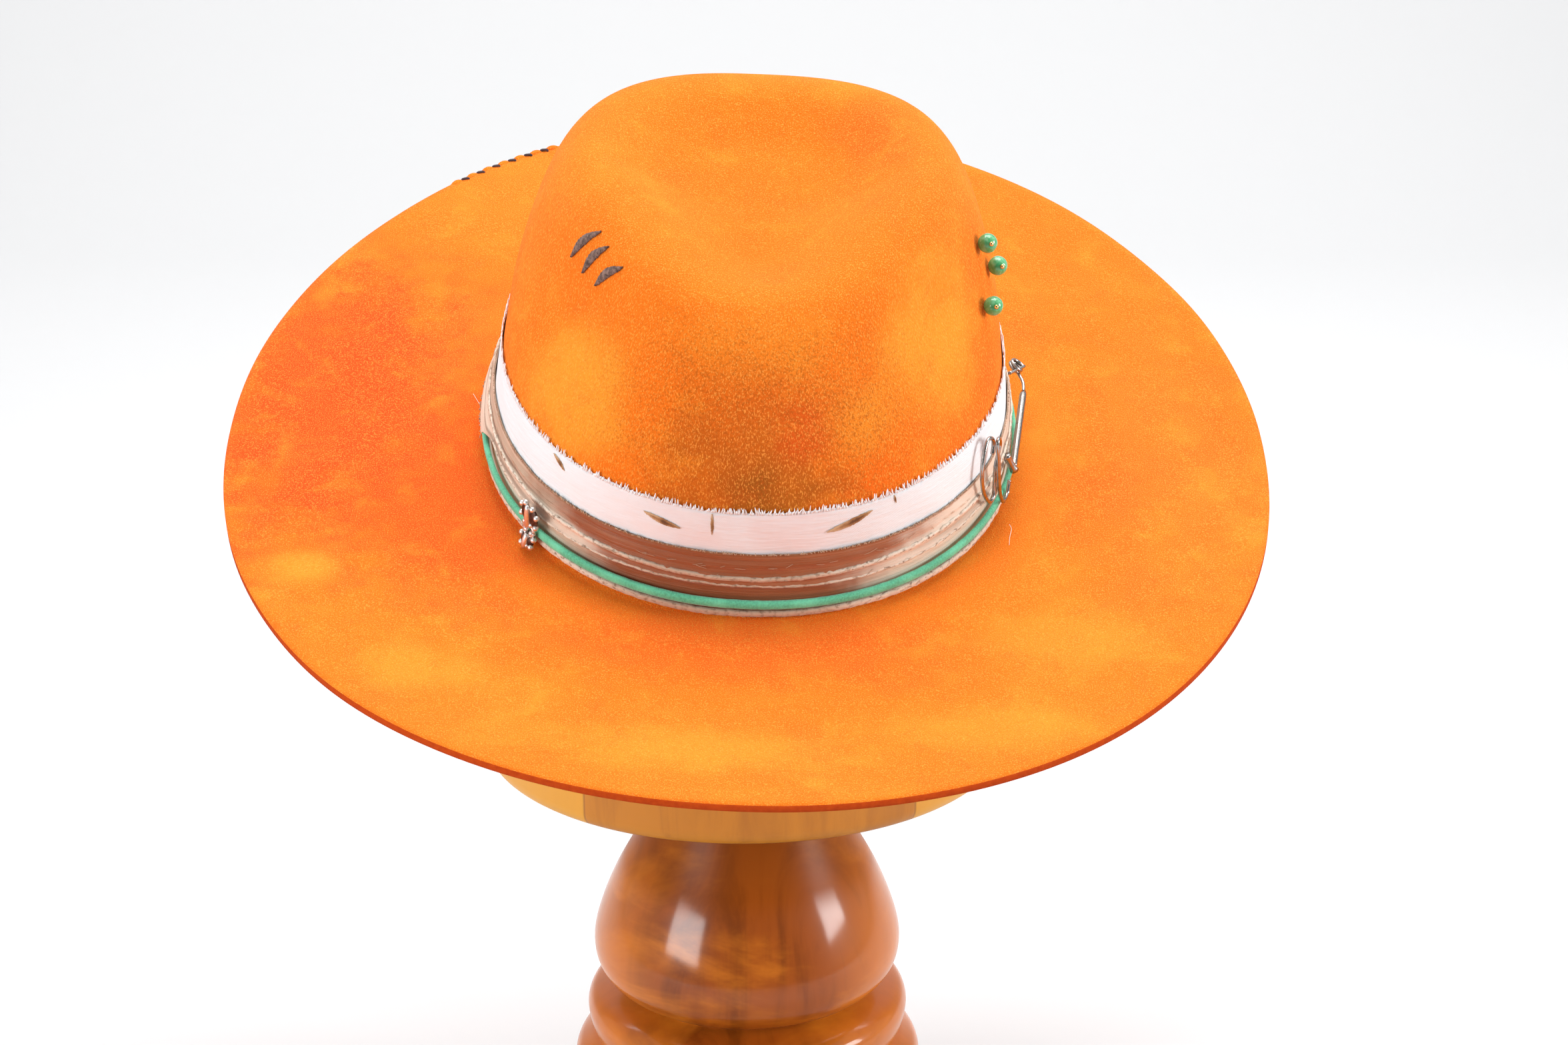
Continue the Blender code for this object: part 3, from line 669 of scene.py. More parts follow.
def weave_group():
    """Fine crossed threads for the cotton and the satin, from a UV in metres."""
    found = bpy.data.node_groups.get("thread_weave")
    if found:
        return found
    tree, start, end = node_group("thread_weave", (
        ("Position", "NodeSocketVector", (0, 0, 0)), ("Along", "NodeSocketFloat", 1500.0),
        ("Across", "NodeSocketFloat", 1500.0)), (("Height", "NodeSocketFloat"),))
    kit = Shader(tree=tree)
    along, up, _ = kit.split(start.outputs["Position"])
    warp = kit.math("SINE", kit.math("MULTIPLY", along, start.outputs["Along"]))
    weft = kit.math("SINE", kit.math("MULTIPLY", up, start.outputs["Across"]))
    total = kit.math("MULTIPLY_ADD", kit.math("MULTIPLY", warp, weft), 0.25, 0.5)
    tree.links.new(total, end.inputs["Height"])
    return tree


# Materials

def felt_material():
    """Hand-dyed felt: orange with gold and red clouds, a burnt front, and a short matted nap."""
    kit = Shader("dyed_felt")
    place = kit.place()
    tone = colours()
    clouds = kit.noise(place, 16, 5, 0.6, 0.6)
    mottle = kit.noise(place, 55, 6, 0.65, 0.4)
    fine = kit.noise(place, 1150, 4, 0.7)
    fibres = kit.noise(kit.stretch(place, (1, 1, 0.35)), 2300, 3, 0.6)
    colour = kit.mix(kit.ramp(clouds, 0.52, 0.74, 0, 0.42), tone.orange, tone.gold)
    colour = kit.mix(kit.ramp(kit.noise(place, 11, 4, 0.6), 0.50, 0.72, 0, 0.35), colour, tone.red)
    patch = soft_patch_group()
    # Clouds of dye: centre, reach, share, tint
    clouded = (
        ((-0.146, 0.010, 0.0), (0.068, 0.130, 0.05), 1.00, tone.red),
        ((-0.098, -0.050, 0.0), (0.045, 0.085, 0.02), 0.70, tone.red),
        ((0.000, -0.118, 0.0), (0.110, 0.028, 0.02), 0.45, tone.red),
        ((0.085, 0.050, 0.045), (0.030, 0.090, 0.035), 0.25, tone.red),
        ((-0.145, -0.087, 0.0), (0.016, 0.014, 0.03), 0.80, tone.gold),
        ((-0.103, -0.137, 0.0), (0.028, 0.016, 0.03), 0.60, tone.gold),
        ((-0.013, -0.174, 0.0), (0.060, 0.018, 0.03), 0.65, tone.gold),
        ((0.075, -0.160, 0.0), (0.050, 0.020, 0.03), 0.45, tone.gold),
        ((0.103, -0.112, 0.0), (0.042, 0.026, 0.03), 0.50, tone.gold),
        ((0.145, 0.008, 0.0), (0.030, 0.080, 0.03), 0.35, tone.gold),
        ((-0.060, -0.062, 0.054), (0.034, 0.038, 0.032), 1.00, tone.gold),
        ((0.060, -0.048, 0.076), (0.034, 0.040, 0.034), 1.00, tone.gold),
        ((0.000, -0.076, 0.085), (0.034, 0.024, 0.014), 0.40, tone.gold),
        ((0.036, 0.030, 0.104), (0.026, 0.030, 0.014), 0.35, tone.red),
        ((0.150, -0.010, 0.0), (0.050, 0.110, 0.05), 0.30, tone.red),
    )
    for centre, reach, share, tint in clouded:
        mask = kit.group(patch, Position=place, Centre=centre, Reach=reach, Ragged=1.1)
        colour = kit.mix(kit.math("MULTIPLY", mask, share), colour, tint)
    # The burnt front: centre, reach, raggedness, share, tint
    singed = (
        ((0.004, -0.088, 0.062), (0.056, 0.050, 0.034), 0.9, 0.70, (0.62, 0.105, 0.006)),
        ((-0.004, -0.096, 0.046), (0.044, 0.040, 0.030), 1.0, 0.62, tone.scorch),
        ((0.010, -0.096, 0.043), (0.030, 0.040, 0.016), 1.2, 0.55, (0.20, 0.075, 0.006)),
        ((0.0155, -0.0870, 0.0610), (0.0150, 0.03, 0.0150), 0.9, 0.80, (0.74, 0.085, 0.006)),
        ((0.0345, -0.0795, 0.0600), (0.015, 0.03, 0.016), 1.1, 0.55, tone.gold),
    )
    for centre, reach, ragged, share, tint in singed:
        mask = kit.group(patch, Position=place, Centre=centre, Reach=reach, Ragged=ragged, Edge=0.05)
        colour = kit.mix(kit.math("MULTIPLY", mask, share), colour, tint)
    colour = kit.mix(kit.ramp(mottle, 0.50, 0.76, 0.0, 0.50), colour, tone.gold)
    colour = kit.mix(kit.ramp(mottle, 0.46, 0.26, 0.0, 0.35), colour, (0.70, 0.105, 0.006))
    burnt = kit.group(patch, Position=place, Centre=(0.006, -0.088, 0.060), Reach=(0.078, 0.062, 0.050),
                      Ragged=0.9)
    nap_share = kit.math("MULTIPLY", kit.ramp(fine, 0.46, 0.62), kit.math("MULTIPLY_ADD", burnt, 0.50, 0.20))
    colour = kit.mix(nap_share, colour, (0.50, 0.095, 0.006))
    colour = kit.mix(kit.ramp(fibres, 0.50, 0.66, 0.0, 0.60), colour, (1.0, 0.43, 0.07))
    nap = kit.math("MULTIPLY_ADD", fibres, 0.5, fine)
    kit.bump(nap, 0.0010, 0.6)
    return kit.finish(colour, 0.92, Sheen_Weight=0.12, Sheen_Roughness=0.6, Sheen_Tint=(1.0, 0.55, 0.2),
                      Specular_IOR_Level=0.15)


def felt_edge_material():
    """The brim's cut edge, darker and redder than the face."""
    kit = Shader("felt_cut_edge")
    place = kit.place()
    colour = kit.mix(kit.noise(place, 500, 5, 0.6), (0.34, 0.030, 0.004), (0.60, 0.075, 0.006))
    kit.bump(kit.noise(place, 900, 4), 0.0003, 0.6)
    return kit.finish(colour, 0.95, Specular_IOR_Level=0.1)


def cotton_material():
    """White cotton cloth with a faint pink cast and a plain weave."""
    kit = Shader("white_cotton")
    uv = kit.uv()
    stain = kit.noise(kit.place(), 26, 4, 0.55)
    in_front = kit.ramp(across_hat(kit), 0.060, 0.020, 0.0, 1.0)
    blush = kit.math("MULTIPLY", kit.ramp(stain, 0.36, 0.60, 0.35, 1.0), in_front)
    colour = kit.mix(blush, colours().cotton, (0.78, 0.71, 0.72))
    weave = kit.group(weave_group(), Position=uv, Along=9000.0, Across=9000.0)
    colour = kit.mix(kit.ramp(weave, 0.3, 0.7, 0.0, 0.10), colour, (0.66, 0.60, 0.58))
    creases = kit.noise(kit.stretch(uv, (30, 190, 1)), 3.0, 4, 0.6)
    kit.bump(kit.math("MULTIPLY_ADD", creases, 1.6, kit.math("MULTIPLY", weave, 0.25)), 0.0006, 0.5)
    return kit.finish(colour, 0.85, Sheen_Weight=0.15, Specular_IOR_Level=0.2)


def across_hat(kit):
    """Distance from the hat's middle plane, with a soft waver, in the hat's own frame."""
    place = kit.place()
    from_middle = kit.apart(kit.split(place)[0], -0.006)
    return kit.math("ADD", from_middle, kit.sway(kit.noise(place, 60, 3), 0.03))


def satin_material():
    """Folded satin ribbon: chestnut in front, taupe and cream towards the sides, with long creases and
    painted shade along two crease lines.
    """
    kit = Shader("folded_satin")
    uv = kit.uv()
    round_hat, height, _ = kit.split(uv)
    streaks = kit.noise(kit.stretch(uv, (14, 900, 1)), 1.0, 5, 0.62)
    broad = kit.noise(kit.stretch(uv, (7, 170, 1)), 1.0, 3, 0.5)
    front = kit.mix(kit.ramp(broad, 0.40, 0.66), colours().chestnut, (0.36, 0.135, 0.060))
    sides = kit.mix(kit.ramp(broad, 0.30, 0.50), (0.52, 0.39, 0.285), colours().cream)
    away = across_hat(kit)
    upper = kit.ramp(height, 0.0150, 0.0200, 0.0, 0.014)
    chestnut = kit.ramp(kit.math("SUBTRACT", away, upper), 0.058, 0.034, 0.0, 1.0)
    colour = kit.mix(chestnut, sides, front)
    frays = kit.noise(kit.stretch(uv, (260, 900, 1)), 1.0, 4)
    frayed = kit.math("MULTIPLY_ADD", frays, 0.0012, height)
    turn = kit.math("MULTIPLY", round_hat, 1 / RIBBON_ROUND)
    facing = kit.math("MULTIPLY", kit.math("SINE", turn), -1.0)
    rise = kit.math("POWER", kit.math("SUBTRACT", 1.0, kit.math("MAXIMUM", facing, 0.0)), 0.8)
    waver = kit.sway(kit.noise(kit.stretch(uv, (26, 60, 1)), 1.0, 3), 0.0030)
    # Painted shade: two wandering crease lines are darkened to deep brown, more strongly towards the sides
    # and back.
    for base, climb, depth in ((0.0174, 0.0022, 0.80), (0.0125, 0.0012, 0.55)):
        crest = kit.math("MULTIPLY_ADD", rise, climb, base)
        off_crease = kit.apart(kit.math("ADD", height, waver), crest)
        painted_crease_shade = kit.ramp(off_crease, 0.0008, 0.0001, 0.0, depth)
        share = kit.math("MULTIPLY", painted_crease_shade, kit.ramp(rise, 0.25, 0.6))
        colour = kit.mix(share, colour, (0.15, 0.085, 0.055))
    colour = kit.mix(kit.ramp(frayed, 0.0234, 0.0242, 0, 0.75), colour, (0.27, 0.115, 0.045))
    pale = kit.mix(chestnut, (0.74, 0.61, 0.48), (0.46, 0.235, 0.125))
    colour = kit.mix(kit.ramp(streaks, 0.54, 0.80, 0, 0.45), colour, pale)
    colour = kit.mix(kit.ramp(streaks, 0.40, 0.22, 0, 0.50), colour, (0.13, 0.065, 0.040))
    twill = kit.group(weave_group(), Position=uv, Along=7000.0, Across=14000.0)
    kit.bump(kit.math("MULTIPLY_ADD", streaks, 2.2, kit.math("MULTIPLY", twill, 0.3)), 0.0006, 0.55)
    rough = kit.ramp(streaks, 0.2, 0.8, 0.36, 0.54)
    return kit.finish(colour, rough, Sheen_Weight=0.12, Sheen_Roughness=0.35, Specular_IOR_Level=0.4)


def fold_material():
    """Rubbed cream edge of a fold, with a stitched and fraying look."""
    kit = Shader("folded_edge")
    uv = kit.uv()
    stitch = kit.noise(kit.stretch(uv, (520, 900, 1)), 1.0, 3, 0.6)
    in_front = kit.ramp(across_hat(kit), 0.052, 0.022, 0.0, 0.8)
    face = kit.mix(in_front, colours().cream, (0.46, 0.29, 0.19))
    colour = kit.mix(kit.ramp(stitch, 0.30, 0.52), (0.27, 0.16, 0.10), face)
    colour = kit.mix(kit.ramp(kit.noise(kit.place(), 300, 3), 0.5, 0.7, 0, 0.4), colour, (0.62, 0.47, 0.35))
    kit.bump(stitch, 0.0006, 0.7)
    return kit.finish(colour, 0.7, Sheen_Weight=0.2)


def thread_material(name, dark, light):
    """Matt spun thread between two shades."""
    kit = Shader(name)
    colour = kit.mix(kit.noise(kit.place(), 900, 3), dark, light)
    kit.bump(kit.noise(kit.place(), 2500, 2), 0.0001, 0.4)
    return kit.finish(colour, 0.85)


def suede_material():
    """Green suede with a rubbed, slightly uneven nap."""
    kit = Shader("green_suede")
    place = kit.place()
    fine = kit.noise(place, 1400, 4, 0.65)
    broad = kit.noise(place, 90, 3, 0.5)
    dark = tuple(0.68 * c for c in colours().suede)
    light = tuple(min(1.0, 1.30 * c + 0.045) for c in colours().suede)
    colour = kit.mix(kit.ramp(fine, 0.30, 0.66), dark, colours().suede)
    colour = kit.mix(kit.ramp(broad, 0.45, 0.70, 0, 0.6), colour, light)
    kit.bump(fine, 0.0004, 0.6)
    return kit.finish(colour, 0.92, Sheen_Weight=0.3, Sheen_Roughness=0.5, Specular_IOR_Level=0.15)


def metal_material(name, colour, worn, roughness):
    """Polished wire or cast metal with faint wear."""
    kit = Shader(name)
    place = kit.place()
    wear = kit.noise(place, 420, 4, 0.6)
    tint = kit.mix(kit.ramp(wear, 0.48, 0.72, 0, 0.6), colour, worn)
    kit.bump(kit.noise(place, 1800, 3), 0.00008, 0.25)
    return kit.finish(tint, kit.ramp(wear, 0.3, 0.75, roughness, roughness + 0.16), Metallic=1.0)


def jade_material():
    """Clouded green stone with a deep polish."""
    kit = Shader("polished_jade")
    place = kit.place()
    cloud = kit.noise(place, 320, 4, 0.6, 1.2)
    pale = (0.16, 0.50, 0.25)
    colour = kit.mix(kit.ramp(cloud, 0.38, 0.66), colours().jade, pale)
    return kit.finish(colour, 0.16, Subsurface_Weight=0.15, Subsurface_Scale=0.002, Coat_Weight=0.6,
                      Coat_Roughness=0.04)


def dark_felt_material():
    """Dark grey-brown felt of the slashes."""
    kit = Shader("slash_felt")
    place = kit.place()
    fine = kit.noise(place, 700, 5, 0.7)
    colour = kit.mix(kit.ramp(fine, 0.35, 0.68), (0.070, 0.042, 0.036), (0.26, 0.165, 0.135))
    kit.bump(fine, 0.0005, 0.8)
    return kit.finish(colour, 0.92)


def scorch_material():
    """Burnt lens-shaped slits: cream middle, toasted brown towards the edges and tips."""
    kit = Shader("scorched_slit")
    lengthways, crossways, _ = kit.split(kit.uv())
    rough = kit.sway(kit.noise(kit.place(), 450, 4), 0.6)
    along = kit.apart(lengthways, 0.62)
    rim = kit.math("MULTIPLY", kit.apart(crossways, 0.5), 0.55)
    away = kit.math("ADD", kit.math("ADD", along, rim), rough)
    colour = kit.mix(kit.ramp(away, 0.05, 0.30), (0.13, 0.055, 0.022), (0.33, 0.165, 0.065))
    colour = kit.mix(kit.ramp(away, 0.30, 0.55), colour, (0.52, 0.35, 0.20))
    kit.bump(kit.noise(kit.place(), 700, 4), 0.0003, 0.5)
    return kit.finish(colour, 0.9)


def wood_grain_group():
    """Long wood grain, wavering streaks along Z: gives one mask."""
    found = bpy.data.node_groups.get("wood_grain")
    if found:
        return found
    tree, start, end = node_group("wood_grain", (
        ("Position", "NodeSocketVector", (0, 0, 0)), ("Fineness", "NodeSocketFloat", 60.0),
        ("Waver", "NodeSocketFloat", 1.0)), (("Mask", "NodeSocketFloat"),))
    kit = Shader(tree=tree)
    given = start.outputs
    drawn_out = kit.stretch(given["Position"], (1.0, 1.0, 0.16))
    streaks = kit.noise(drawn_out, given["Fineness"], 6.0, 0.62, given["Waver"])
    tree.links.new(streaks, end.inputs["Mask"])
    return tree


def maple_material():
    """Golden maple glued up from upright staves, under a satin varnish."""
    kit = Shader("maple_staves")
    place = kit.place(on_hat=False)
    turn = kit.node("ShaderNodeTexGradient", {"gradient_type": "RADIAL"}, Vector=place).outputs["Fac"]
    stave = kit.math("ADD", kit.math("MULTIPLY", turn, 5.0), 0.225)
    own = kit.math("FRACT", kit.math("MULTIPLY_ADD", kit.math("FLOOR", stave), 0.47, 0.90))
    seam = kit.apart(kit.math("FRACT", stave), 0.5)
    grain = kit.group(wood_grain_group(), Position=place, Fineness=85.0, Waver=0.8)
    light = (0.72, 0.34, 0.035)
    dark = (0.34, 0.110, 0.010)
    colour = kit.mix(kit.ramp(grain, 0.30, 0.60, 0.35, 1.0), dark, colours().maple)
    colour = kit.mix(kit.ramp(own, 0.25, 1.0, 0.0, 0.85), colour, light)
    height = kit.split(place)[2]
    # Painted shadow: a dark band along the head's lower edge.
    colour = kit.mix(kit.ramp(height, 0.2092, 0.2080, 0, 0.8), colour, (0.11, 0.036, 0.020))
    colour = kit.mix(kit.ramp(seam, 0.494, 0.4995, 0, 0.6), colour, (0.24, 0.085, 0.016))
    kit.bump(kit.math("SUBTRACT", grain, kit.ramp(seam, 0.492, 0.499)), 0.0002, 0.3)
    return kit.finish(colour, 0.42, Coat_Weight=0.1, Coat_Roughness=0.25, Specular_IOR_Level=0.3)


def varnished_material():
    """Red-brown turned hardwood with a bright gloss varnish, with painted light on its sides and painted
    shadow on its neck.
    """
    kit = Shader("varnished_hardwood")
    place = kit.place(on_hat=False)
    grain = kit.group(wood_grain_group(), Position=place, Fineness=34.0, Waver=1.4)
    figure = kit.noise(kit.stretch(place, (1, 1, 3.0)), 16, 5, 0.6, 0.5)
    dark = tuple(0.62 * c for c in colours().varnish)
    light = (0.60, 0.175, 0.012)
    colour = kit.mix(kit.ramp(grain, 0.34, 0.60), dark, colours().varnish)
    colour = kit.mix(kit.ramp(figure, 0.45, 0.72, 0, 0.8), colour, light)
    across, _, height = kit.split(place)
    # Painted light: the post grows lighter towards its left and right sides as seen from the front.
    rim = kit.ramp(kit.math("ABSOLUTE", across), 0.026, 0.054, 0, 0.55)
    colour = kit.mix(rim, colour, (0.72, 0.20, 0.012))
    # Painted shadow: the neck under the head is darkened towards the top.
    colour = kit.mix(kit.ramp(height, 0.150, 0.176, 0, 0.45), colour, dark)
    gloss = kit.ramp(height, 0.154, 0.164, 0.65, 0.0)
    return kit.finish(colour, 0.34, Coat_Weight=gloss, Coat_Roughness=0.12, Specular_IOR_Level=0.10)


# The pieces

class FEDORA_OT_felt(bpy.types.Operator):
    """Crown and brim as one lofted felt shell"""
    bl_idname = "fedora.felt"
    bl_label = "Felt Body"

    def execute(self, context):
        segments, crown_rings, brim_rings = 300, 74, 30
        angle = around(segments)
        foot = row_at(angle, BREAK_RADIUS)
        rings = [DENT_FLOOR + np.zeros((segments, 3))]
        dent = crown_skin(np.full(segments, LAST_ROW), angle)
        for share in (0.35, 0.7):
            ring = DENT_FLOOR + (dent - DENT_FLOOR) * share
            ring[:, 2] = DENT_FLOOR[2] + (dent[:, 2] - DENT_FLOOR[2]) * share ** 2
            rings.append(ring)
        for share in np.linspace(0, 1, crown_rings):
            rings.append(crown_skin(LAST_ROW + (foot - LAST_ROW) * share, angle))
        base = wall(angle, BREAK_RADIUS)
        outward = plan_normal(base)
        for turn in np.radians((22.5, 45, 67.5)):
            ring = base + outward * BREAK_RADIUS * (1 - math.cos(turn))
            ring[:, 2] = BREAK_RADIUS * (1 - math.sin(turn))
            rings.append(ring)
        for share in np.linspace(0, 1, brim_rings) ** 0.9:
            rings.append(brim_skin(share, angle))
        points = np.concatenate(rings)
        reach = np.hypot(points[:, 0], points[:, 1])
        out_on_brim = np.clip((reach - 0.112) / 0.03, 0, 1)
        clear_of_band = np.where(points[:, 2] > 0.045, 1.0, out_on_brim)
        points[:, 2] += sizes().ripple * clear_of_band * soft_noise(points, scale=75, seed=4)
        mesh = mesh_from("felt", points, grid_faces(len(rings), segments, False, True), weld=True)
        felt = new_piece("felt_crown_and_brim", mesh, felt_material(), ("felt_body",))
        mesh.materials.append(felt_edge_material())
        shell = thicken(felt, "felt thickness", sizes().felt)
        shell.use_even_offset = True
        shell.material_offset_rim = 1
        return {"FINISHED"}


class FEDORA_OT_strip(bpy.types.Operator):
    """The white cotton strip with its frayed edge and scorched slits"""
    bl_idname = "fedora.strip"
    bl_label = "Cotton Strip"

    def execute(self, context):
        band = band_sizes()
        rows, segments, frays = 12, 720, 980
        angle = around(segments)
        generator = np.random.default_rng(11)
        ragged = generator.normal(size=segments) * 0.00016 + 0.00035 * np.sin(angle * 9 + 1.0)
        levels = np.linspace(band.strip_bottom, band.strip_top, rows)
        corners = []
        for share, level in zip(np.linspace(0, 1, rows), levels):
            lift = 0.0007 + 0.00010 * np.sin(angle * 23 + share * 5) + 0.0001 * share ** 6
            corners.append((level + ragged * share ** 8, lift))
        mesh = wall_sheet("strip", angle, wall_columns(angle, corners), levels, STRIP_ROUND)
        strip = new_piece("cotton_strip", mesh, cotton_material(), ("white_strip",))
        thicken(strip, "cloth thickness", 0.0003)
        threads = []
        stops = np.array([0.0, 0.5, 1.0])
        taper = np.array([0.00034, 0.00024, 0.00007])
        for spot in around(frays):
            at = spot + generator.normal() * 0.003
            length = band.fray * generator.uniform(0.25, 1.0) ** 1.2
            slant = generator.normal() * 0.005
            path = wall(at + slant * stops, band.strip_top - 0.0004 + length * stops,
                        0.0008 + 0.0004 * stops * generator.uniform(0.0, 1.0))
            threads.append((path, taper * generator.uniform(0.7, 1.3), 4))
        fray = new_piece("strip_fray", tubes_mesh("strip_fray", threads),
                         thread_material("cotton_thread", (0.78, 0.78, 0.80), (0.90, 0.90, 0.91)))
        scorch = scorch_material()
        for index, (start, end, width, bow) in enumerate(SCORCH_SLITS, 1):
            patch = lens_patch(f"slit_{index}", start, end, width, bow, stand_off=0.00095, dome=0.00010,
                               ragged=0.00007, seed=index)
            new_piece(f"scorched_slit_{index}", patch, scorch)
        return {"FINISHED"}


def fold_line(angle, fold):
    """Height of a fold's crest round the hat: it wanders a little and climbs towards the sides."""
    level, phase, _, _, climb = fold
    wander = 0.0005 * np.sin(2 * angle + phase) + 0.0003 * np.sin(5 * angle + 2.3 * phase)
    return level + wander + climb * (1 - np.clip(-np.sin(angle), 0, 1)) ** 0.8


def ribbon_lift(angle, level):
    """How far the ribbon's face stands off the felt at a height."""
    lift = RIBBON_LIFT + 0.00010 * np.sin(angle * 41 + level * 900) * (level > 0.01)
    for fold in FOLDS:
        _, _, rise, half, _ = fold
        lift = lift + rise * np.exp(-((level - fold_line(angle, fold)) / half) ** 2)
    return np.minimum(lift, RIBBON_MOST_LIFT)


def fold_edge_mesh(index, fold, half, proud):
    """The rubbed edge of one fold, a slim ring along its crest."""
    generator = np.random.default_rng(20 + index)

    def section(at):
        line = fold_line(at, fold)
        crest = line + generator.normal(size=len(at)) * 0.00007
        out = ribbon_lift(at, line) + proud + generator.normal(size=len(at)) * 0.00006
        return [(crest - half, out - 0.0009), (crest - half * 0.6, out - 0.0001), (crest + half * 0.3, out),
                (crest + half, out - 0.0006), (crest + half * 0.2, out - 0.0010)]

    return band_loop(f"fold_{index}", section)


def ribbon_threads():
    """Threads rubbed loose along the folds, on the frayed upper edge and on the lap."""
    generator = np.random.default_rng(31)
    along_folds, on_upper_edge, on_lap = 360, 900, 46
    stops, short = np.linspace(0, 1, 4), np.linspace(0, 1, 3)
    threads = []
    for _ in range(along_folds):
        fold = FOLDS[generator.integers(1, 4)]
        turns = generator.uniform(-math.pi, math.pi) + generator.uniform(0.008, 0.040) * stops
        level = fold_line(turns, fold) + generator.normal() * 0.0005 * stops
        path = wall(turns, level, ribbon_lift(turns, level) + 0.0003 + generator.uniform(0, 0.0002))
        threads.append((path, 0.00007, 4))
    for _ in range(on_upper_edge):
        at = generator.uniform(-math.pi, math.pi)
        rise = generator.uniform(0.0003, 0.0011) * short
        turns = at + generator.normal() * 0.008 * short
        path = wall(turns, RIBBON_TOP - 0.0002 + rise, RIBBON_LIFT + 0.0002 - 0.0001 * short)
        threads.append((path, np.array([0.00018, 0.00013, 0.00005]), 4))
    for _ in range(on_lap):
        turns = math.radians(generator.uniform(-196, -170)) + generator.normal() * 0.006 * stops
        level = generator.uniform(0.0055, 0.0085) + generator.normal() * 0.0012 * stops
        arch = generator.uniform(0.0002, 0.0009) * np.sin(2.6 * stops)
        threads.append((wall(turns, level, 0.0047 + arch), 0.00020, 4))
    return threads


def lap_mesh():
    """The ribbon's end: it bulges over the lace, and its lower edge climbs to free the lace in front."""
    segments, rows = 100, 24
    turns = np.linspace(*LAP_ENDS, segments)
    angle = np.radians(turns)
    low = LAP_SECTION[0][0] + LAP_CLIMB * between(turns, -173.0, -165.5)
    high = LAP_SECTION[0][-1] + 0.0004 * np.sin(turns * 0.5)
    merged = between(turns, -167.0, -162.5)
    corners = []
    for share in np.linspace(0, 1, rows):
        height = low + (high - low) * share
        over = np.interp(height, *LAP_SECTION) + 0.00012 * np.sin(height * 3000 + turns * 0.2)
        flush = np.minimum(ribbon_lift(angle, height) + 0.0003, over)
        corners.append((height, over * (1 - merged) + flush * merged))
    heights = [height for height, _ in corners]
    return wall_sheet("ribbon_lap", angle, wall_columns(angle, corners), heights, RIBBON_ROUND, closed=False)


class FEDORA_OT_ribbon(bpy.types.Operator):
    """The satin ribbon in lengthwise folds, with its rubbed and fraying edges"""
    bl_idname = "fedora.ribbon"
    bl_label = "Satin Ribbon"

    def execute(self, context):
        segments, rows = 480, 56
        angle = around(segments)
        levels = np.linspace(RIBBON_BOTTOM, RIBBON_TOP, rows)
        face = wall_columns(angle, [(level, ribbon_lift(angle, level)) for level in levels])
        mesh = wall_sheet("ribbon", angle, face, levels, RIBBON_ROUND)
        satin = satin_material()
        ribbon = new_piece("satin_ribbon_folds", mesh, satin, ("satin_ribbon",))
        thicken(ribbon, "cloth thickness", RIBBON_CLOTH)
        rubbed = fold_material()
        for index, (fold, (half, proud)) in enumerate(zip(FOLDS, FOLD_EDGES), 1):
            mesh = fold_edge_mesh(index, fold, half, proud)
            new_piece(f"ribbon_fold_edge_{index}", mesh, rubbed)
        frayed = new_piece("ribbon_loose_threads", tubes_mesh("ribbon_loose_threads", ribbon_threads()),
                           thread_material("satin_thread", (0.30, 0.16, 0.085), (0.66, 0.50, 0.36)))
        lap = new_piece("ribbon_lap", lap_mesh(), satin)
        thicken(lap, "cloth thickness", RIBBON_CLOTH)
        return {"FINISHED"}


class FEDORA_OT_lace(bpy.types.Operator):
    """The flat suede lace round the band"""
    bl_idname = "fedora.lace"
    bl_label = "Suede Lace"

    def execute(self, context):
        band = band_sizes()
        half = band.lace_width / 2
        generator = np.random.default_rng(5)

        def section(at):
            level = band.lace_height + 0.0004 * np.sin(2 * at + 1.2)
            edge = generator.normal(size=len(at)) * 0.00005
            inner, side, shoulder, face = 0.0028, 0.0031 + edge, 0.0041 + edge, 0.0045
            return [(level - half, side), (level - half * 0.9, shoulder), (level - half * 0.4, face),
                    (level + half * 0.4, face), (level + half * 0.9, shoulder), (level + half, side),
                    (level + half * 0.7, inner), (level - half * 0.7, inner)]

        new_piece("suede_lace_round_band", band_loop("lace", section, 360), suede_material(),
                  ("suede_lace",))
        return {"FINISHED"}


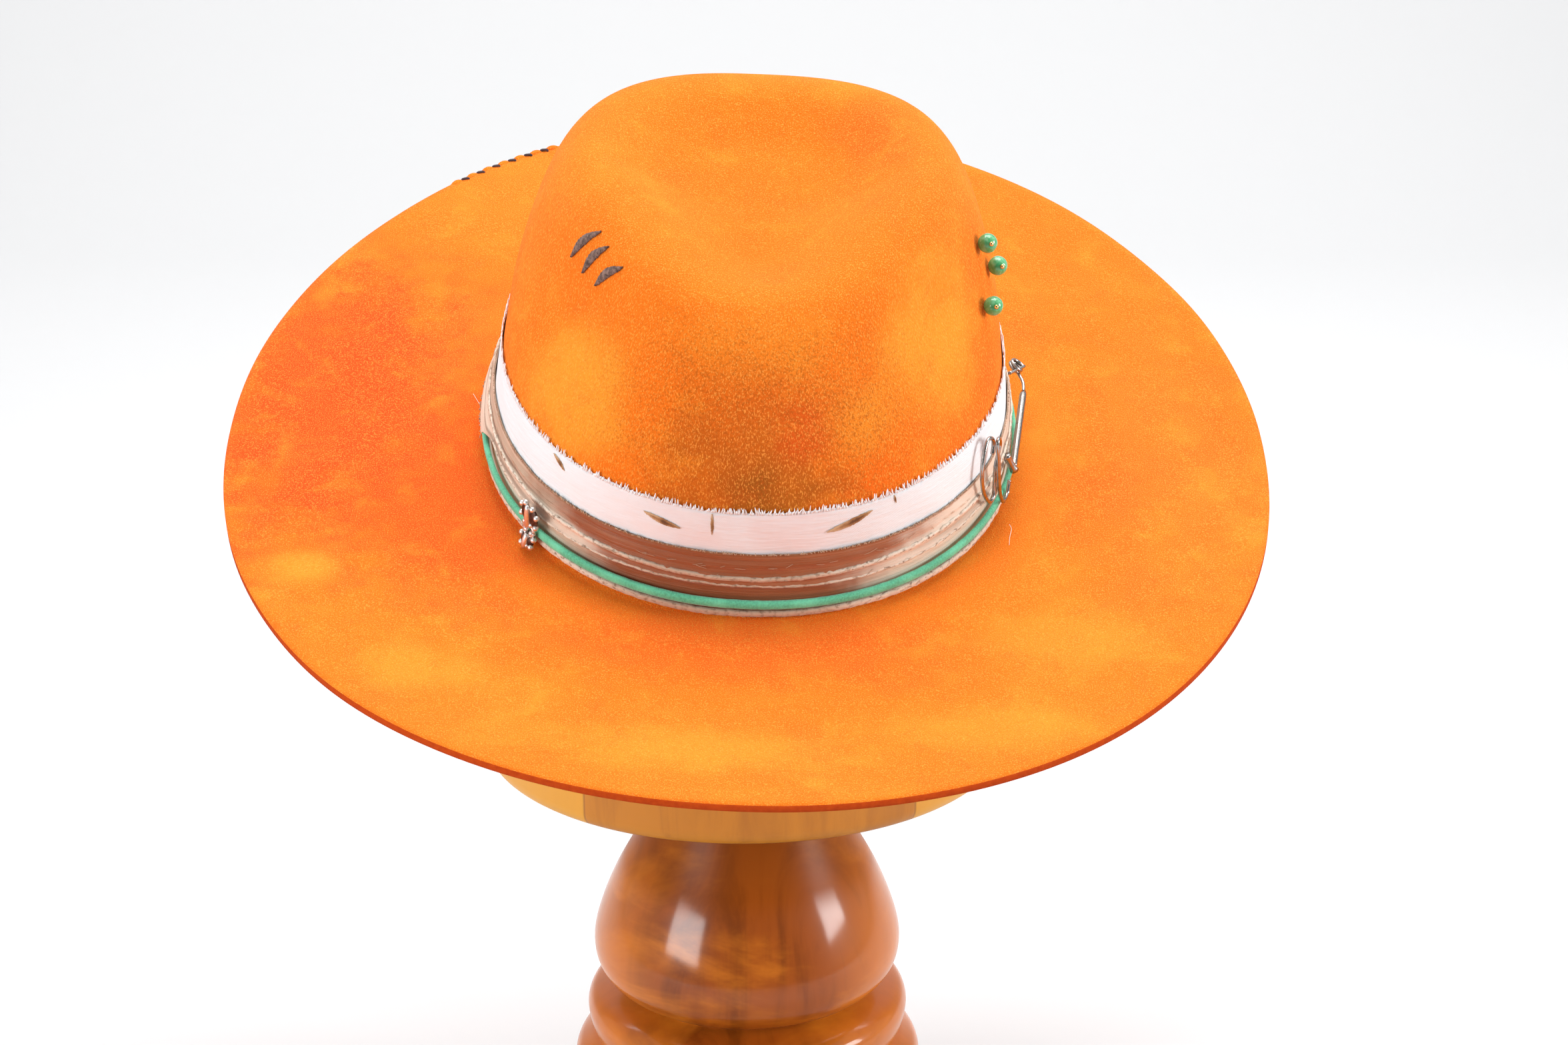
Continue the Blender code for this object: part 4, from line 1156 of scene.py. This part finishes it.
class FEDORA_OT_charm(bpy.types.Operator):
    """The winged metal charm on the lace, with beaded wing edges"""
    bl_idname = "fedora.charm"
    bl_label = "Charm"

    def execute(self, context):
        foot, along, _, _ = wall_frame(math.radians(CHARM_ANGLE), CHARM_HEIGHT)
        normal = plan_normal(foot[None])[0]

        def spot(x, z, out):
            off = out + CHARM_STAND_OFF + max(0.0, CHARM_HEIGHT - z) * CHARM_LEAN
            return foot + along * x + normal * off + np.array([0, 0, z - CHARM_HEIGHT])

        poles = np.linspace(-1.45, 1.45, 8)
        points, faces, tubes = [], [], []
        for (x, z), (wide, tall), granules in CHARM_WINGS:
            work = bmesh.new()
            bmesh.ops.create_uvsphere(work, u_segments=24, v_segments=14, radius=1)
            start = len(points)
            for vertex in work.verts:
                px, py, pz = vertex.co
                dish = 0.0003 * max(0.0, 1 - (px * px + pz * pz) / 0.7)
                out = 0.0008 + py * (0.0010 + dish)
                points.append(spot(x + px * wide * 0.92, z + pz * tall * 0.92, out))
            faces += [tuple(start + vertex.index for vertex in face.verts) for face in work.faces]
            work.free()
            for turn in around(granules) + 0.4:
                middle = spot(x + wide * 0.95 * math.cos(turn), z + tall * 0.95 * math.sin(turn), 0.0011)
                ball = [middle + normal * CHARM_GRANULE * math.sin(pole) for pole in poles]
                tubes.append((ball, CHARM_GRANULE * np.cos(poles), 12))
        for low, high in ((0.0095, 0.0185), (0.0070, 0.0020)):
            body = [spot(0.0002, z, 0.0019) for z in np.linspace(low, high, 7)]
            tubes.append((body, 0.0007 + 0.0005 * np.sin(math.pi * np.linspace(0.1, 1, 7)), 8))
        ring = [spot(0.0027 * math.cos(turn), 0.0082 + 0.0022 * math.sin(turn), 0.0011)
                for turn in np.linspace(0, 2 * math.pi, 25)]
        tubes.append((ring, 0.0006, 8))
        mesh = mesh_from("charm_wings", points, faces, outward=True)
        patina = metal_material("patina", (0.085, 0.052, 0.042), (0.32, 0.26, 0.235), 0.42)
        new_piece("charm_wings", mesh, patina, ("charm",))
        new_piece("charm_granules", tubes_mesh("charm_granules", tubes),
                  metal_material("rose_silver", (0.80, 0.78, 0.76), (0.50, 0.44, 0.41), 0.36))
        return {"FINISHED"}


class FEDORA_OT_pins(bpy.types.Operator):
    """The large sleeve pin and the bent wire clip on the band's right"""
    bl_idname = "fedora.pins"
    bl_label = "Pin and Clip"

    def execute(self, context):
        wire = band_sizes().wire
        steel = metal_material("polished_steel", (0.42, 0.40, 0.38), (0.24, 0.20, 0.17), 0.15)
        centre = stations([PIN_COIL])[0]
        normal = plan_normal(centre[None])[0]
        upright = np.array([0, 0, 1.0])
        along = np.cross(upright, normal)
        out = normal * 0.8 - upright * 0.6
        axis = np.cross(along, out)
        coil = []
        for share in np.linspace(0, 1, 90):
            turn = share * 2 * math.pi * COIL_TURNS - math.pi / 2
            swing = math.cos(turn) * out - math.sin(turn) * along
            coil.append(centre + COIL_RADIUS * swing + axis * (0.5 - share) * COIL_WIDTH)
        sleeve = np.linspace(*stations(PIN_SLEEVE), 24)
        front = stations(PIN_FRONT_LEG)
        back = smooth_path(stations(PIN_BACK_LEG), 10)
        route = smooth_path(np.concatenate([sleeve[2:3], front[::-1], coil, back]), 3)
        across = (back[-1] - sleeve[-1]) / np.linalg.norm(back[-1] - sleeve[-1])
        cap = np.linspace(sleeve[-1] - across * 0.0011, back[-1] + across * 0.0012, 9)
        cap_radius = SLEEVE_RADIUS + 0.0003 * np.abs(np.linspace(-1, 1, 9)) ** 3
        sleeve_radius = np.full(len(sleeve), SLEEVE_RADIUS)
        sleeve_radius[[0, -1]] = 0.0010
        rolled = [(sleeve, sleeve_radius, 18), (route, wire / 2, 12), (cap, cap_radius, 16)]
        new_piece("sleeve_pin", tubes_mesh("sleeve_pin", rolled), steel, ("kilt_pin",))
        clip = smooth_path(stations(CLIP_ROUTE), 8)
        radius = np.full(len(clip), wire * 0.58)
        radius[[0, -1]] *= 0.6
        new_piece("bent_wire_clip", tubes_mesh("bent_wire_clip", [(clip, radius, 12)]), steel,
                  ("wire_clip",))
        return {"FINISHED"}


class FEDORA_OT_beads(bpy.types.Operator):
    """Three drilled stone beads on gold pins"""
    bl_idname = "fedora.beads"
    bl_label = "Beads"

    def execute(self, context):
        radius = band_sizes().bead / 2
        jade = jade_material()
        gold = metal_material("gold_pin", (0.80, 0.52, 0.20), (0.45, 0.25, 0.08), 0.18)
        for index, (degrees, height) in enumerate(BEADS, 1):
            place, round_hat, up, normal = wall_frame(math.radians(degrees), height)
            bore = -round_hat * 0.75 + up * 0.25 + normal * 0.6
            bore /= np.linalg.norm(bore)
            centre = place + normal * (radius + 0.0003)
            poles = np.linspace(-1.30, 1.30, 30)
            along_bore = np.concatenate([[-0.98, -0.965], np.sin(poles), [0.965, 0.98]])
            path = centre + bore * radius * along_bore[:, None]
            widths = np.concatenate([[0.0003, 0.0006], radius * np.cos(poles), [0.0006, 0.0003]])
            bead_mesh = tubes_mesh(f"stone_{index}", [(path, widths, 36)])
            new_piece(f"stone_bead_{index}", bead_mesh, jade, (f"bead_{index}",))
            pin = [centre + bore * radius * s for s in (-1.28, -1.0, 0.97, 1.05, 1.12, 1.18)]
            pin_radius = np.array([0.0003, 0.0003, 0.0003, 0.00075, 0.00075, 0.0003])
            new_piece(f"bead_pin_{index}", tubes_mesh(f"bead_pin_{index}", [(pin, pin_radius, 12)]), gold)
        return {"FINISHED"}


class FEDORA_OT_slashes(bpy.types.Operator):
    """Three dark curved slashes on the crown's shoulder"""
    bl_idname = "fedora.slashes"
    bl_label = "Slashes"

    def execute(self, context):
        look = dark_felt_material()
        for index, (start, end) in enumerate(SLASHES, 1):
            mesh = lens_patch(f"slash_{index}", start, end, width=0.0032, bow=0.0012, stand_off=0.0004,
                              dome=0.0005, steps=44, across=9, ragged=0.00009, seed=index)
            slash = new_piece(f"dark_slash_{index}", mesh, look, (f"slash_{index}",))
            thicken(slash, "felt thickness", 0.0006)
        return {"FINISHED"}


class FEDORA_OT_stitches(bpy.types.Operator):
    """Whip stitches over the brim's puckered back-left edge, and two stray threads"""
    bl_idname = "fedora.stitches"
    bl_label = "Stitches"

    def execute(self, context):
        felt = sizes().felt
        up = np.array([0, 0, 1.0])
        stitches, rolls = [], []
        for number in range(STITCHES + 1):
            notch = STITCH_FIRST - STITCH_STEP * number
            inner = brim_skin(0.985, np.radians([notch - 0.35]))[0]
            edge = brim_skin(0.998, np.radians([notch + 0.35]))[0]
            outward = np.append(edge[:2] / np.linalg.norm(edge[:2]), 0)
            top = inner + up * 0.0004
            path = [inner - up * 0.0012, top, (top + edge) / 2 + up * 0.0003, edge + up * 0.0002,
                    edge + outward * 0.0003 - up * felt * 0.5, edge - up * (felt + 0.0003),
                    inner - up * (felt + 0.0003), inner - up * felt * 0.5]
            if number < STITCHES:
                stitches.append((smooth_path(path, 4), 0.00048, 8))
            stops = np.linspace(0, 1, 15)
            swell = np.sin(math.pi * stops) ** 0.6
            roll = brim_skin(1.0, np.radians(notch + STITCH_STEP * (0.06 + 0.88 * stops)))
            reach = np.hypot(roll[:, 0], roll[:, 1])
            roll[:, :2] *= (1 + (0.0006 * swell - 0.0006) / reach)[:, None]
            roll[:, 2] -= felt * 0.5 - 0.0003 * swell
            rolls.append((roll, 0.0002 + (felt * 0.5 + 0.0002) * swell, 14))
        dyed_felt = bpy.data.materials["dyed_felt"]
        new_piece("puckered_edge", tubes_mesh("puckered_edge", rolls), dyed_felt)
        new_piece("whip_stitches", tubes_mesh("whip_stitches", stitches),
                  thread_material("dark_thread", (0.030, 0.018, 0.022), (0.085, 0.055, 0.060)))
        band_thread = ((-176.5, 0.0085, 0.0046), (-177.2, 0.0104, 0.0062), (-178.0, 0.0125, 0.0080))
        brim_thread = ((0.0885, -0.0512, 0.0012), (0.0888, -0.0550, 0.0022), (0.0880, -0.0590, 0.0020),
                       (0.0877, -0.0622, 0.0010))
        strays = [(smooth_path(stations(band_thread), 5), 0.00010, 5),
                  (smooth_path(brim_thread, 5), 0.00009, 5)]
        new_piece("stray_threads", tubes_mesh("stray_threads", strays),
                  thread_material("stray_thread", (0.80, 0.60, 0.45), (0.90, 0.84, 0.78)))
        return {"FINISHED"}


def turned_piece(name, profile, segments, material, node):
    """A piece turned about +Z from (radius, height) pairs, top to bottom."""
    angle = around(segments)
    rings = [np.stack([radius * np.cos(angle), radius * np.sin(angle), np.full(segments, height)], -1)
             for radius, height in profile]
    mesh = mesh_from(name, np.concatenate(rings), grid_faces(len(rings), segments, False, True), outward=True)
    return new_piece(name, mesh, material, (node,), Matrix.Identity(4))


class FEDORA_OT_stand(bpy.types.Operator):
    """The maple head and the varnished turned post"""
    bl_idname = "fedora.stand"
    bl_label = "Stand"

    def execute(self, context):
        head_low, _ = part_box("stand_head")
        bottom, edge = head_low[2], 0.006
        head = [(HEAD_RADIUS * math.sin(t), HEAD_CENTRE + HEAD_RADIUS * math.cos(t))
                for t in np.linspace(0, math.pi / 2, 40)]
        head += [(HEAD_RADIUS - edge * (1 - math.cos(t)), bottom + edge * (1 - math.sin(t)))
                 for t in np.linspace(0, math.pi / 2, 10)]
        head += [(0.06, bottom), (0.0, bottom)]
        turned_piece("maple_head", head, 160, maple_material(), "stand_head")
        heights, radii = smooth_path(POST, 6).T
        top = heights[0]
        post = [(0.0, top), *zip(np.maximum(radii, 0.0), np.clip(heights, 0.0, top)), (0.0, 0.0)]
        turned_piece("turned_post", post, 160, varnished_material(), "stand_post")
        return {"FINISHED"}


def area_light(name, place, target, size, energy):
    """A soft box at a place, facing its target; size is width and height."""
    data = bpy.data.lights.new(name, "AREA")
    data.shape = "RECTANGLE"
    data.size, data.size_y = size
    data.energy = energy
    lamp = bpy.data.objects.new(name, data)
    bpy.context.scene.collection.objects.link(lamp)
    lamp.location = place
    lamp.rotation_euler = (Vector(target) - Vector(place)).to_track_quat("-Z", "Y").to_euler()


class FEDORA_OT_stage(bpy.types.Operator):
    """The pale floor and sweep, the soft boxes and the camera"""
    bl_idname = "fedora.stage"
    bl_label = "Stage"

    def execute(self, context):
        scene = context.scene
        half_width, front, back, rise, bend = 5.0, -3.0, 3.0, 4.0, 1.2
        profile = [(front, 0.0), (back - bend, 0.0)]
        profile += [(back - bend + bend * math.sin(t), bend * (1 - math.cos(t)))
                    for t in np.linspace(0.1, math.pi / 2, 12)]
        profile.append((back, rise))
        points = [(x, y, z) for y, z in profile for x in (-half_width, half_width)]
        faces = [(2 * i, 2 * i + 1, 2 * i + 3, 2 * i + 2) for i in range(len(profile) - 1)]
        mesh = mesh_from("sweep", points, faces)
        sweep = bpy.data.objects.new("paper_sweep", mesh)
        scene.collection.objects.link(sweep)
        paper = Shader("pale_paper")
        mesh.materials.append(paper.finish((0.645, 0.647, 0.653), 0.9, Specular_IOR_Level=0.1))
        world = bpy.data.worlds.new("studio")
        world.use_nodes = True
        sky = Shader(tree=world.node_tree)
        direction = sky.node("ShaderNodeTexCoord").outputs["Generated"]
        toward_front = sky.vector("DOT_PRODUCT", direction, (0, -1, -0.1))["Value"]
        backdrop = world.node_tree.nodes["Background"]
        sky.put(backdrop.inputs["Strength"], sky.ramp(toward_front, 0.25, 0.85, 0.66, 0.18))
        backdrop.inputs["Color"].default_value = (1, 1, 1, 1)
        scene.world = world
        aim = (0, 0, 0.33)
        area_light("left_softbox", (-1.32, -1.15, 0.655), aim, (0.85, 0.59), 18)
        area_light("right_softbox", (1.69, -0.44, 0.735), aim, (0.65, 0.63), 20)
        area_light("overhead", (0.1, 0.3, 2.1), aim, (1.6, 1.2), 36)
        area_light("sweep_wash", (0, 1.4, 2.4), (0, 2.9, 1.0), (4.0, 0.8), 50)
        camera = bpy.data.cameras.new("camera")
        camera.lens = CAMERA_LENS
        camera.sensor_width = 36
        eye = bpy.data.objects.new("camera", camera)
        scene.collection.objects.link(eye)
        eye.location = hat_matrix().translation + Vector(CAMERA_FROM_OPENING)
        eye.rotation_euler = (math.pi / 2 - CAMERA_PITCH, 0, 0)
        scene.camera = eye
        scene.view_settings.view_transform = "Standard"
        return {"FINISHED"}


PIECES = (FEDORA_OT_felt, FEDORA_OT_strip, FEDORA_OT_ribbon, FEDORA_OT_lace, FEDORA_OT_charm, FEDORA_OT_pins,
          FEDORA_OT_beads, FEDORA_OT_slashes, FEDORA_OT_stitches, FEDORA_OT_stand, FEDORA_OT_stage)


class FEDORA_PT_panel(bpy.types.Panel):
    """Lists the sizes, the colours and the pieces"""
    bl_idname = "FEDORA_PT_panel"
    bl_label = "Fedora"
    bl_space_type = "VIEW_3D"
    bl_region_type = "UI"
    bl_category = "Fedora"

    def draw(self, context):
        layout = self.layout
        for group in (context.scene.fedora_sizes, context.scene.fedora_band, context.scene.fedora_colours):
            box = layout.box()
            for name in group.__annotations__:
                box.prop(group, name)
        for piece in PIECES:
            layout.operator(piece.bl_idname)


CLASSES = (FedoraSizes, BandSizes, FedoraColours, *PIECES, FEDORA_PT_panel)


def register():
    for item in CLASSES:
        bpy.utils.register_class(item)
    bpy.types.Scene.fedora_sizes = bpy.props.PointerProperty(type=FedoraSizes)
    bpy.types.Scene.fedora_band = bpy.props.PointerProperty(type=BandSizes)
    bpy.types.Scene.fedora_colours = bpy.props.PointerProperty(type=FedoraColours)


def unregister():
    del bpy.types.Scene.fedora_sizes
    del bpy.types.Scene.fedora_band
    del bpy.types.Scene.fedora_colours
    for item in reversed(CLASSES):
        bpy.utils.unregister_class(item)


def main():
    register()
    for make in (bpy.ops.fedora.felt, bpy.ops.fedora.strip, bpy.ops.fedora.ribbon, bpy.ops.fedora.lace,
                 bpy.ops.fedora.charm, bpy.ops.fedora.pins, bpy.ops.fedora.beads, bpy.ops.fedora.slashes,
                 bpy.ops.fedora.stitches, bpy.ops.fedora.stand, bpy.ops.fedora.stage):
        make()


if __name__ == "__main__":
    main()
